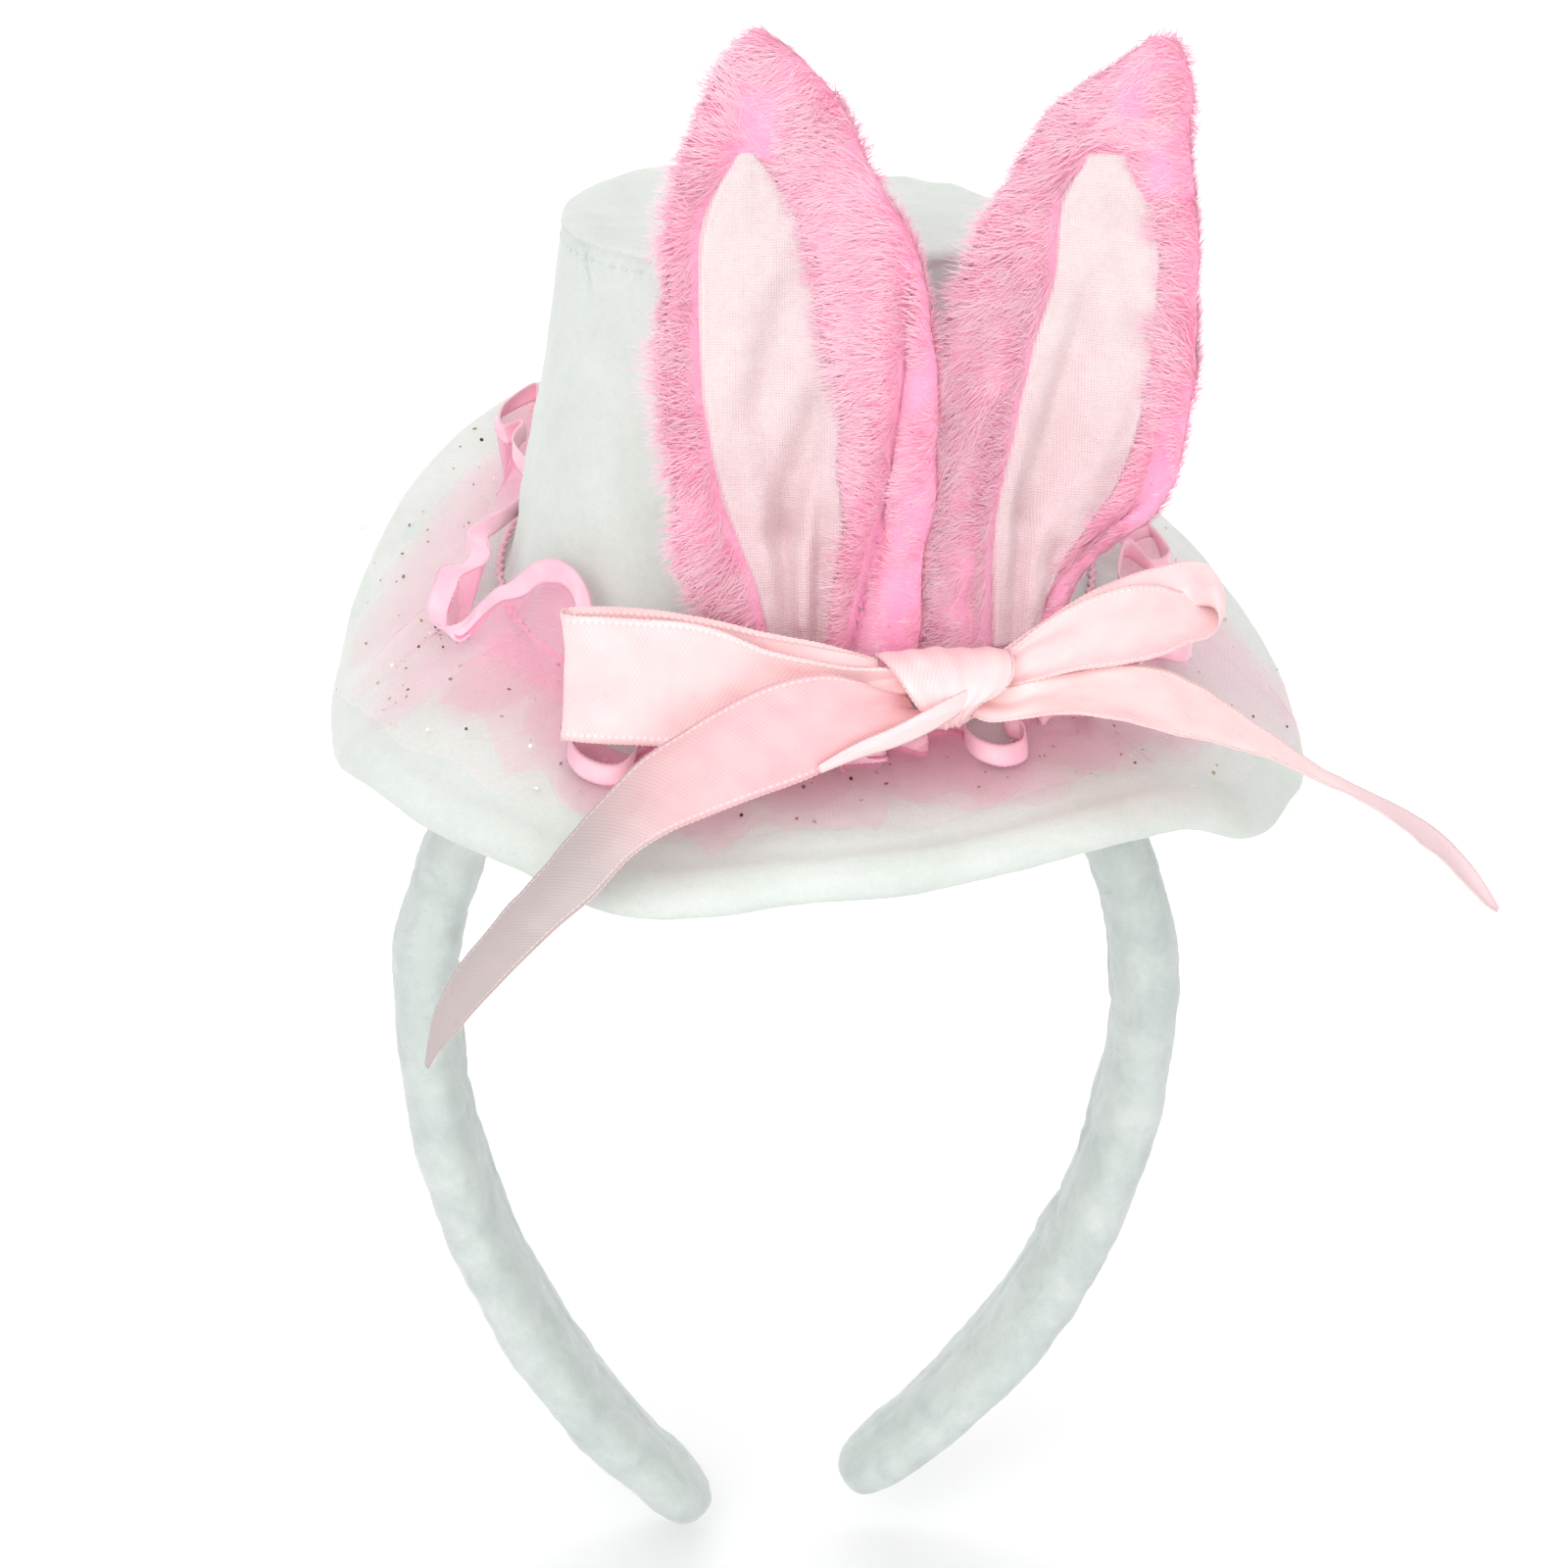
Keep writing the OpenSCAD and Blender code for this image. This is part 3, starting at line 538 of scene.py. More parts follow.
def make_brim():
    n = 320
    a = np.arange(n) * 360 / n
    R = rim_r(a)
    R = R + 0.35 * wobble(polar(R, a, rim_z(a)), 34, 3)
    e = THICK / 2 + 0.25                                  # radius of the rolled rim
    flat = [np.full(n, r) for r in np.concatenate([[2], np.linspace(10, FLAT_R, 9)[:-1]])]
    share = np.linspace(0, 1, 26)
    rows = [(r, brim_top(r, a)) for r in flat]
    for s in share:
        r = FLAT_R + (R - e - FLAT_R) * s
        inset = R - r
        puff = 0.45 * smoothstep(s, 0.3, 0.9) + 0.35 * bump(inset - 1.6, 2.0)
        rows.append((r, brim_top(r, a) + puff - 0.22 * bump(inset - STITCH_IN, 0.7)))
    for t in np.linspace(0, pi, 11)[1:-1]:
        middle = brim_z(R - e + e * math.sin(t) * 0.6, a) + THICK / 2
        rows.append((R - e + e * math.sin(t), middle + e * math.cos(t) * 1.12))
    for s in share[::-1]:
        r = FLAT_R + (R - e - FLAT_R) * s
        inset = R - r
        puff = 0.35 * smoothstep(s, 0.3, 0.9) + 0.4 * bump(inset - 1.6, 1.8)
        rows.append((r, brim_z(r, a) - puff + 0.7 * bump(inset - STITCH_IN, 0.9)))
    rows += [(r, brim_z(r, a)) for r in flat[::-1]]
    G = np.stack([polar(r, a, z) for r, z in rows])
    G = G + normals(G, True) * (0.10 * wobble(G, 18, 5) + 0.03 * wobble(G, 6, 6))[..., None]
    G[..., 2] += sway(G, np.hypot(G[..., 0] - HAT_X, G[..., 1]))
    ob = build("brim_felt", G.reshape(-1, 3), drum_faces(len(G), n), HAT_FELT)
    # stitches in the groove, above and below
    paths, count = [], 104
    for k in range(count):
        a0 = np.linspace(k, k + 0.62, 5) * 360 / count
        for lift, side in ((THICK - 0.28, 1), (-0.05, -1)):
            r = np.interp(a0 % 360, a, R, period=360) - STITCH_IN
            P = polar(r, a0, brim_z(r, a0) + lift + side * 0.28 * np.sin(np.linspace(0, pi, 5)))
            P[:, 2] += sway(P, r)
            paths.append(P)
    st = threads_object("brim_stitches", [stitch(P, 0.16) for P in paths], THREAD, uv=False)
    for o, nodes, slot in ((ob, ("brim_under_felt", "brim_stiffener", "brim_top_felt"), "hat_felt"),
                           (st, ("brim_edge_stitches",), "white_thread")):
        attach(o, "hat"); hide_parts(*nodes)


# Dents of the crown's felt: angle, height, lean in degrees, length and depth.
CROWN_DENTS = [
    (-62, 115, 30, 5.0, 0.8), (-40, 116, -24, 4.0, 0.5), (26, 116, 20, 4.5, 0.6), (70, 114, 30, 6, 0.6),
    (120, 113, -20, 6, 0.7), (-120, 114, 25, 6, 0.7), (165, 115, 15, 5, 0.6), (-85, 75, 60, 9, 0.5),
    (100, 74, -50, 8, 0.5)]


def make_crown():
    n = 300
    a = np.arange(n) * 360 / n
    edge = 1.4                                            # radius of the rounded top edge
    top_r = CROWN_R1 + 0.5
    rows = []
    foot = brim_top(np.full(n, CROWN_R0), a) - 0.8
    for s in np.linspace(0, 1, 46):
        z = foot + (CROWN_TOP - edge - foot) * s
        base = CROWN_R0 + (CROWN_R1 - CROWN_R0) * np.clip((z - 67) / (CROWN_TOP - 67), -0.5, 1)
        flare = 1.1 * bump(z - foot, 2.2)
        rows.append((base + flare + 0.35 * np.sin(pi * s), z))
    for t in np.linspace(0, pi / 2, 7)[1:]:
        rows.append((top_r - edge + edge * math.cos(t), CROWN_TOP - edge + edge * math.sin(t)))
    for r in np.linspace(top_r - edge, 1.0, 22)[1:]:
        dome = -0.9 * smoothstep(np.float64(top_r - edge - r), 0, 9) + 0.6 * (1 - (r / top_r) ** 2)
        rows.append((r, CROWN_TOP + dome))
    G = np.stack([polar(r, a, z) for r, z in rows])
    N = normals(G, True)
    A, Z = np.broadcast_to(a, G.shape[:2]), G[..., 2]
    r_now = np.hypot(G[..., 0] - HAT_X, G[..., 1])
    d = 0.25 * wobble(G, 26, 11) + 0.10 * wobble(G, 8, 12)
    # the turned-in felt shows as a line round the top, with breaks in it
    top = Z > CROWN_TOP - 1.6
    d -= np.where(top, 0.55 * bump(r_now - 28.2, 0.7) * (0.35 + 0.65 * (wobble(G, 34, 14) > -0.1)), 0)
    below = (r_now > CROWN_R1 - 2) * (0.3 + 0.7 * (wobble(G, 30, 15) > 0.0))
    d -= 0.4 * bump(Z - (CROWN_TOP - 2.0), 0.4) * below
    for ang, z0, lean, length, deep in CROWN_DENTS:
        x = turned(A - ang) * pi / 180 * 35
        y = Z - z0
        c, s = math.cos(rad(lean)), math.sin(rad(lean))
        u, v = x * c + y * s, -x * s + y * c
        d -= deep * bump(u, 0.6) * bump(v, length) * (1 - smoothstep(Z, CROWN_TOP - 1.9, CROWN_TOP - 1.0))
    # back seam
    d -= 0.45 * bump(turned(A - 180) * pi / 180 * 38, 0.5) * (~top)
    G = G + N * d[..., None]
    G[..., 2] += 2.6 * bump(turned(A + 150), 58) * smoothstep(Z, 92, 119) * np.clip(r_now / CROWN_R1, 0, 1)
    ob = build("crown_felt", G.reshape(-1, 3), drum_faces(len(G), n), HAT_FELT)
    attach(ob, "hat")
    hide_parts("crown_wall_felt", "crown_wall_liner", "crown_top_felt", "crown_top_liner")
    paths, count = [], 84
    for k in range(count):
        a0 = np.linspace(k, k + 0.6, 4) * 360 / count
        z = CROWN_TOP - 3.0 + 2.3 * bump(turned(a0 + 150), 58)
        paths.append(polar(np.full(4, CROWN_R1 + 0.62), a0, z))
    st = threads_object("crown_stitches", [stitch(P, 0.11) for P in paths], THREAD, uv=False)
    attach(st, "hat"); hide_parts("crown_top_stitches")


def make_pad():
    rows, n = [], 72
    t = np.linspace(0, 2 * pi, n, endpoint=False)
    c, q = np.cos(t), np.sin(t)
    for s in np.linspace(0, 1, 14):
        x = 16.2 * np.sign(c) * np.abs(c) ** 0.35
        y = 7.6 * np.sign(q) * np.abs(q) ** 0.35
        grow = 1 - 0.04 * (2 * s - 1) ** 2
        low = np.sqrt(np.maximum((BAND_R + BAND_T - 0.3) ** 2 - x**2, 1))
        high = UNDER_Z + TILT * y + 0.3
        rows.append(np.stack([x * grow, y * grow, low + (high - low) * s], -1))
    G = np.stack(rows)
    G = G + normals(G, True) * (0.12 * wobble(G, 5, 21))[..., None]
    ob = build("mounting_felt", G.reshape(-1, 3), drum_faces(len(G), n), HAT_FELT)
    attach(ob, "hat"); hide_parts("mounting_pad")


# ---------------------------------------------------------------- headband
TIP_ROWS, TIP_LONG = 15, 10.2                   # the rounded tip of each arm
BEND_HALF = 9                                   # distance each way from an arm's hinge; make_band works out a reach from it that nothing uses
# Puckers of the cover: distance from the bridge's middle, depth and slant.
BAND_CREASES = {
    -1: [(62, 0.5, 2), (70, 0.6, -2.5), (81, 0.35, 3), (104, 0.6, -2), (109, 0.35, 2), (133, 0.25, 3),
         (160, 0.25, -2)],
    1: [(64, 0.35, -2), (90, 0.3, 2), (112, 0.4, 3), (128, 0.6, -2.5), (134, 0.4, 2), (156, 0.25, 2)],
}


def make_band(side, arm, seed):
    """One half of the covered band, from the middle of the bridge to the arm's tip."""
    R, bend = arm
    pts, tang = [], []
    for t in np.linspace(90, 0, 92):
        pts.append((BAND_R * math.cos(rad(t)), BAND_R * math.sin(rad(t))))
        tang.append((math.sin(rad(t)), -math.cos(rad(t))))
    for t in np.linspace(0, bend, int(R * rad(bend)))[1:]:
        pts.append((BAND_R - R + R * math.cos(rad(t)), -R * math.sin(rad(t))))
        tang.append((-math.sin(rad(t)), -math.cos(rad(t))))
    end_p, end_t = np.array(pts[-1]), np.array(tang[-1])
    s = np.linspace(0, 1, TIP_ROWS + 1)[1:]
    for share in s:
        pts.append(tuple(end_p + end_t * TIP_LONG * math.sin(share * pi / 2)))
        tang.append(tuple(end_t))
    P, T = np.array(pts), np.array(tang)
    n, m = len(P), 72
    half_w, half_t = np.full(n, BAND_W), np.full(n, BAND_T)
    half_w[-TIP_ROWS:] = BAND_W * np.maximum(np.cos(s * pi / 2), 0.06) ** 0.8
    half_t[-TIP_ROWS:] = BAND_T * np.maximum(np.cos(s * pi / 2), 0.10) ** 0.45
    slim = 1 - 0.16 * smoothstep(np.arange(n), n - 46, n - 12)
    half_w, half_t = half_w * slim, half_t * slim
    th = np.linspace(0, 2 * pi, m, endpoint=False)
    c, q = np.cos(th), np.sin(th)
    out = np.sign(c) * np.abs(c) ** 0.78                   # towards the outside of the band
    wide = np.sign(q) * np.abs(q) ** 0.86
    O = np.stack([-T[:, 1], T[:, 0]], -1)                  # outward in the band's plane
    X = P[:, None, 0] + O[:, None, 0] * half_t[:, None] * out
    Z = P[:, None, 1] + O[:, None, 1] * half_t[:, None] * out
    Y = half_w[:, None] * wide[None, :]
    G = np.stack([side * X, Y, Z], -1)
    N = normals(G, True) * (1 if side > 0 else -1)
    if ((G[20, 0] - np.array([side * P[20, 0], 0, P[20, 1]])) @ N[20, 0]) < 0:
        N = -N
    L = np.concatenate([[0], np.cumsum(np.hypot(*np.diff(P, axis=0).T))])
    d = 0.16 * wobble(G, 19, seed) + 0.08 * wobble(G, 7, seed + 1) + 0.05 * wobble(G, 3, seed + 2)
    inner = np.clip(-out, 0, 1)[None, :] ** 0.5
    # the cover puckers across the inside of the bends, and meets in a seam along the inside
    for at, deep, slant in BAND_CREASES[side]:
        d -= deep * bump(L[:, None] - at - slant * wide[None, :], 1.1) * (0.25 + 0.75 * inner)
    d -= 0.35 * bump(Y - 1.2, 0.5) * (out < 0)
    d[-14:] *= np.linspace(1, 0.2, 14)[:, None]
    G = G + N * d[..., None]
    name = "left" if side < 0 else "right"
    ob = build(name + "_band_cover", G.reshape(-1, 3), drum_faces(n, m), VELOUR)
    nodes = [name + "_arm_core", name + "_arm_foam", name + "_arm_sleeve"]
    if side < 0:
        nodes += ["band_bridge_core", "band_bridge_foam", "band_bridge_sleeve"]
    pivot = np.array([side * BAND_R * math.cos(rad(FLEX)), 0, BAND_R * math.sin(rad(FLEX))])
    reach = BEND_HALF * np.array([side * math.sin(rad(FLEX)), 0, -math.cos(rad(FLEX))])
    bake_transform(ob)
    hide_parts(*nodes)


# ---------------------------------------------------------------- ears
EARS = {
    "left": dict(
        name="left", at=(0, -43, 71), lean=0, turn=0, top=79.4, pinch=0.15,
        left=[(-4, -8), (1, -9.3), (6.5, -13), (17, -15.6), (30, -16.6), (42, -16.5), (53, -15.8),
            (64, -13.8), (69, -11.6), (73, -9.0), (76, -7.0), (78, -6.1), (79.4, -5.5)],
        right=[(-4, 16.4), (1, 16.8), (6.5, 17.1), (17, 17.9), (30, 18.5), (42, 18.1), (52.8, 15.5),
            (58.2, 12.9), (62.8, 10.0), (70, 6.2), (72.8, 4.3), (75.5, 1.2), (77.8, -1.8), (79.4, -3.8)],
        lining_l=[(-3, -4.0), (1, -4.2), (7, -5.6), (13, -7.8), (20, -10.0), (30, -12), (42, -12.8),
            (52, -12.4), (58, -11.0), (62, -8.8), (64, -7.6)],
        lining_r=[(-3, 4.6), (1, 5.0), (7, 5.9), (15, 7.0), (22, 6.6), (33, 6.6), (38, 5), (46, 3.2),
            (54, 1.6), (58, -0.2), (62, -3.2), (64, -5.0)],
        ridges=[([(-2, 7.8), (10, 10.6), (17, 12.0), (35, 14.4), (50, 15.2)], 1.6)]),
    "right": dict(
        name="right", at=(35, -35, 71), lean=4, turn=8, top=77.8, pinch=0.1,
        left=[(-4, -18.9), (0, -19.1), (12, -19.5), (30, -19.4), (38.6, -18.3), (43.1, -16.9),
            (52.2, -13.6), (58.6, -10.2), (64.9, -6.9), (70.4, -0.9), (73.5, 3.2), (75.9, 5.4), (77.8, 6.8)],
        right=[(-4, 1.5), (0, 1.8), (4.9, 3.2), (8.6, 5.8), (12.2, 9.2), (15.4, 12.8), (18.6, 15.0),
            (22.2, 15.8), (29.5, 15.9), (46, 15.6), (57, 14.4), (65, 13.2), (72, 12.6), (76, 11.4),
            (77.8, 10.0)],
        lining_l=[(-3, -9), (1, -9.2), (8, -9.9), (14.5, -9.9), (26, -8.2), (36, -6.4), (46, -4.2),
            (53, -4.0), (58, -3.2), (60.5, -1.4), (63, -0.8)],
        lining_r=[(-3, -1.4), (1, -0.6), (4, 0.2), (9, 2.0), (14, 5.0), (20, 8.2), (33, 10.6), (46, 10.8),
            (54, 9.8), (59.5, 7.0), (63, 6.0)],
        ridges=[([(2, -0.6), (6, 1.6), (10, 4.6), (14, 8.2), (18, 11.6), (26, 13.8)], 1.0)]),
}


def place(ear, P, at=True):
    """Ear coordinates (x to the right, y to the back, z up) to the hat's. at=False: only turned."""
    P = np.asarray(P, float)
    for axis, deg in (("y", ear["lean"]), ("x", -4), ("z", ear["turn"])):
        c, s = math.cos(rad(deg)), math.sin(rad(deg))
        M = {"x": [[1, 0, 0], [0, c, -s], [0, s, c]], "y": [[c, 0, s], [0, 1, 0], [-s, 0, c]],
             "z": [[c, -s, 0], [s, c, 0], [0, 0, 1]]}[axis]
        P = P @ np.array(M).T
    return P + np.array(ear["at"]) if at else P


def cup_y(x, d):
    return -CUP_R - EAR_DEEP + np.sqrt(np.maximum((CUP_R + d) ** 2 - x**2, 30))


def in_lining(ear, h, x, soft=1.2):
    l, r = along(ear["lining_l"], h), along(ear["lining_r"], h)
    side = smoothstep(x, l - soft, l + soft) * (1 - smoothstep(x, r - soft, r + soft))
    top = ear["lining_l"][-1][0]
    return side * (1 - smoothstep(h, top - soft, top + soft))


def front_depth(ear, h, x):
    """How far the front of the plush stands behind the cupped front."""
    inside = in_lining(ear, h, x, 1.5)
    d = 1.2 + (1.5 + np.maximum(fold_depth(ear["name"], h, x), 0)) * inside
    for path, deep in ear["ridges"]:
        line = along(path, h)
        low, high = path[0][0], path[-1][0]
        fade = smoothstep(h, low - 6, low) * (1 - smoothstep(h, high - 6, high + 4))
        beside = -0.55 * bump(x - line - 2.4, 1.8) - 0.4 * bump(x - line + 2.2, 1.6)
        d = d + fade * (1.5 * deep * bump(x - line, 0.7) + beside)
    return d


# Soft folds of each lining: (h, x) where one starts and ends, depth and width.
FOLDS = {
    "left": [((54, 2), (32, -4.5), 1.6, 2.6), ((37, 5), (14, -1.6), 2.8, 2.4),
             ((26, -2.5), (-6, -0.2), 2.1, 1.5), ((24, 3.6), (-6, 3.0), 1.8, 1.3),
             ((30, -7.5), (8, -4.0), -1.1, 2.2), ((26, 3.2), (2, 1.2), -0.8, 1.4),
             ((54, -7), (28, -8.5), -0.6, 2.8)],
    "right": [((50, 3), (14, -5.0), 2.7, 2.2), ((24, -6), (-6, -5.4), 1.7, 1.5),
              ((18, 1.4), (-6, -2.4), 1.2, 1.4), ((36, 8), (12, 1.5), -1.1, 2.4),
              ((30, -7.0), (6, -8.2), -0.9, 1.3), ((18, -2.4), (-2, -4), -0.7, 1.2),
              ((60, 4), (38, 8), 0.8, 2.2)],
}


def fold_depth(which, h, x):
    d = 0
    for (h0, x0), (h1, x1), deep, width in FOLDS[which]:
        dh, dx = h1 - h0, x1 - x0
        t = np.clip(((h - h0) * dh + (x - x0) * dx) / (dh**2 + dx**2), 0, 1)
        dist = np.hypot(h - h0 - t * dh, x - x0 - t * dx)
        d = d + deep * bump(dist, width) * smoothstep(t, 0.0, 0.45)
    return d


def ear_rows(ear):
    s = np.linspace(0, 1, 108)
    up = -4.0 + (ear["top"] + 4.0) * (1 - (1 - s) ** 1.35)
    return np.concatenate([np.linspace(-11.5, -4.7, 9), up])


def middle_depth():
    return (1.6 + EAR_DEEP) / 2


def plush_grid(ear, seed):
    """Closed cross-sections of the stuffed ear from foot to tip."""
    H = ear_rows(ear)
    l, r = along(ear["left"], H), along(ear["right"], H)
    mid, half = (l + r) / 2, (r - l) / 2
    half = half * (0.55 + 0.45 * smoothstep(H, -12, -2))      # drawn in where it is sewn on
    last = smoothstep(H, ear["top"] - 3.2, ear["top"])
    half = half * (1 - ear["pinch"] * last)
    m = 120
    th = np.linspace(0, 2 * pi, m, endpoint=False)
    c, q = np.cos(th), np.sin(th)
    u = np.sign(c) * np.abs(c) ** 0.85
    w = (np.sign(q) * np.abs(q) ** 0.8)[None, :]              # -1 at the front and 1 at the back
    x = mid[:, None] + half[:, None] * u[None, :]
    h = H[:, None] + 0 * x
    mid_d = middle_depth()
    thin = (1 - 0.35 * smoothstep(H, 60, 80))[:, None] * (1 - 0.5 * last)[:, None]
    d = np.where(w < 0, (front_depth(ear, h, x) - mid_d) * -w, (EAR_DEEP - 0.4 - mid_d) * w)
    d = mid_d + d * thin
    G = np.stack([x, cup_y(x, d) + 3.0 * (1 - smoothstep(h, -12, -3)), h], -1)
    N = normals(G, True)
    if N[50, m // 4, 1] < 0:
        N = -N
    G = G + N * (0.35 * wobble(G, 19, seed) + 0.12 * wobble(G, 7, seed + 1))[..., None]
    return G, N, h, x, np.broadcast_to(w, x.shape)


def hairs(name, root, flow, normal, length, width, lift, shade, seed):
    """Tapered hairs that leave the surface along flow, lean by lift, and bend back down."""
    r = np.random.default_rng(seed)
    n = len(root)
    jitter = r.normal(size=(n, 3)) * 0.24
    flow = unit(flow + jitter - normal * ((flow + jitter) * normal).sum(1, keepdims=True))
    length = (length * r.uniform(0.65, 1.25, n))[:, None]
    lift = (lift * r.uniform(0.5, 1.5, n))[:, None]
    side = unit(np.cross(flow, normal) + r.normal(size=(n, 3)) * 0.2)
    curl = np.cross(flow, normal) * (r.normal(size=(n, 1)) * 0.16)
    rows = []
    for t in (0.0, 0.34, 0.7, 1.0):
        at = root - normal * 0.08 + length * (flow * t + curl * t * t + normal * lift * (t - 0.55 * t * t))
        if t < 1:
            w = width * (1 - 0.75 * t) / 2
            rows += [at - side * w, at + side * w]
        else:
            rows.append(at)
    co = np.stack(rows, 1)
    base = np.arange(n)[:, None] * 7
    quads = np.vstack([base + np.array([0, 1, 3, 2]), base + np.array([2, 3, 5, 4])])
    tris = base + np.array([4, 5, 6])
    own = 0.62 + 0.40 * wobble(root, 2.4, seed + 70) + 0.22 * r.uniform(-1, 1, n) - 0.45 * shade
    own = np.clip(own, 0, 1)
    uv = pair(own[:, None], np.array([0, 0, 0.34, 0.34, 0.7, 0.7, 1.0])).reshape(-1, 2)
    return build(name, co.reshape(-1, 3), [quads, tris], PILE, uv)


def scatter(G, N, count, keep, seed, extra):
    """Random points on a grid, evenly by area but thinned by keep (0 to 1 per grid point).

    Gives the points, their normals and the values of extra at them.
    """
    r = np.random.default_rng(seed)
    nxt = np.roll(G, -1, 1)
    A = np.linalg.norm(np.cross(nxt[:-1] - G[:-1], G[1:] - G[:-1]), axis=-1) * (keep[:-1])
    p = A.ravel() / A.sum()
    pick = r.choice(len(p), size=count, p=p)
    i, j = np.divmod(pick, G.shape[1])
    k = (j + 1) % G.shape[1]
    a, b = r.uniform(size=(count, 1)), r.uniform(size=(count, 1))

    def at(F):
        return (F[i, j] * (1 - a) + F[i + 1, j] * a) * (1 - b) + (F[i, k] * (1 - a) + F[i + 1, k] * a) * b
    return at(G), unit(at(N)), [at(e[..., None])[:, 0] for e in extra]


def front_lie(ear, which, h, x):
    """How the front pile lies: how much it runs up or down, and where the plush is rolled over."""
    past_ridge = smoothstep(x - along(ear["ridges"][0][0], h), -0.5, 1.0)
    if which == "left":
        rise = along([(-4, -0.75), (10, -0.6), (30, -0.38), (50, 0.0), (64, 0.22), (80, 0.5)], h)
        return rise * np.clip(0.35 - x / 17, 0.05, 1), past_ridge * (1 - smoothstep(h, 36, 44))
    rise = along([(-4, -0.15), (20, -0.10), (45, -0.22), (65, -0.12), (80, -0.2)], h)
    rise = rise + 0.45 * smoothstep(x, 9, 14) * smoothstep(h, 10, 30)
    return rise, past_ridge * (1 - smoothstep(h, 22, 28))


def lining_grid(ear, which, seed):
    """The lining's cloth, tucked in all round, with its flat width and height."""
    H = np.linspace(-4.0, ear["lining_l"][-1][0] + 0.4, 130)
    U = np.linspace(0, 1, 60)[None, :]
    l, r = along(ear["lining_l"], H)[:, None], along(ear["lining_r"], H)[:, None]
    X = l + (r - l) * U
    HH = H[:, None] + 0 * X
    puff = 0.75 * (1 - (2 * U - 1) ** 2) * (0.5 + 0.5 * np.sin(pi * np.clip(HH / 66, 0, 1)))
    away = np.minimum(np.minimum(X - l, r - X), H[-1] - HH)
    tuck = 1.7 * (1 - smoothstep(away, 0.0, 1.0))
    pl, pr = along(ear["left"], H)[:, None], along(ear["right"], H)[:, None]
    across = np.clip(np.abs(2 * X - pl - pr) / (pr - pl), 0, 0.99)
    round_off = (1 - across ** 2.35) ** 0.4
    mid_d = middle_depth()
    front = mid_d + (front_depth(ear, HH, X) - mid_d) * (0.35 + 0.65 * round_off)
    D = front - 0.55 + tuck - puff + np.minimum(fold_depth(which, HH, X), 0) * puff / 0.75
    flat = np.stack([X, 0 * X, HH], -1)
    D = D - 0.14 * (1 + wobble(flat, 10, seed + 20)) - 0.05 * (1 + wobble(flat, 4, seed + 21))
    L = np.stack([X, cup_y(X, D), HH], -1)
    return L, pair(X, HH), float((r - l).max()) + 2 * SEAM, float(H[-1] - H[0]) + 2 * SEAM


def make_ear(which, seed):
    ear = EARS[which]
    G, N, h, x, wall = plush_grid(ear, seed)
    world, WN = place(ear, G), place(ear, N, at=False)
    plush = build(which + "_ear_plush", world.reshape(-1, 3), drum_faces(*G.shape[:2]), BACKING)
    # front pile: everywhere but the lining and the sewn grooves, lying to the left as seen from the front
    keep = (wall < 0.3) * (1 - in_lining(ear, h, x, 0.5))
    for path, _ in ear["ridges"]:
        low, high = path[0][0], path[-1][0]
        on = smoothstep(h, low - 4, low) * (1 - smoothstep(h, high - 4, high + 4))
        keep = keep * (1 - 0.9 * on * bump(x - along(path, h), 0.45))
    P, n, (ph, px) = scatter(world, WN, HAIRS, keep, seed + 3, (h, x))
    rise, rolled = front_lie(ear, which, ph, px)
    flow = np.stack([-np.ones(len(P)), np.zeros(len(P)), rise + 0.35 * wobble(P, 14, seed + 9) * 0.7], -1)
    length = 4.0 - 2.0 * rolled + 0.6 * wobble(P, 9, seed + 10)
    lift = (0.25 - 0.10 * rolled) * (0.5 + 0.5 * smoothstep(ph, 4, 14))
    front = hairs(which + "_ear_front_pile", P, unit(flow), n, length, 0.16, lift, rolled, seed + 4)
    # back pile: lies outwards and up, so that it makes the soft edge
    P, n, (px,) = scatter(world, WN, HAIRS, (wall > -0.25) * 1.0, seed + 5, (x,))
    out = np.sign(px) * smoothstep(np.abs(px), 0, 8)
    flow = np.stack([0.8 * out + 0.1, np.zeros(len(P)), 0.5 + 0.4 * wobble(P, 16, seed + 11)], -1)
    length = 2.9 + 0.4 * wobble(P, 9, seed + 12)
    back = hairs(which + "_ear_back_pile", P, unit(flow), n, length, 0.12, 0.32, 0.1, seed + 6)
    L, uv, width, tall = lining_grid(ear, which, seed)
    lining = shell(which + "_ear_lining_cloth", place(ear, L), 0.45, LINING, uv=uv)
    # each piece's placing is baked into its mesh; the ear's hinge is worked out, but nothing bends across it
    up = place(ear, [0, 0, 1.0], at=False)
    hinge = place(ear, [0, -4.0, 10.0])
    for ob in (plush, front, back, lining):
        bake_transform(ob)
    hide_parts(which + "_ear_foot", which + "_ear_batting", which + "_ear_wire",
                which + "_ear_back_fur", which + "_ear_front_fur")
    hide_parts(which + "_ear_lining")


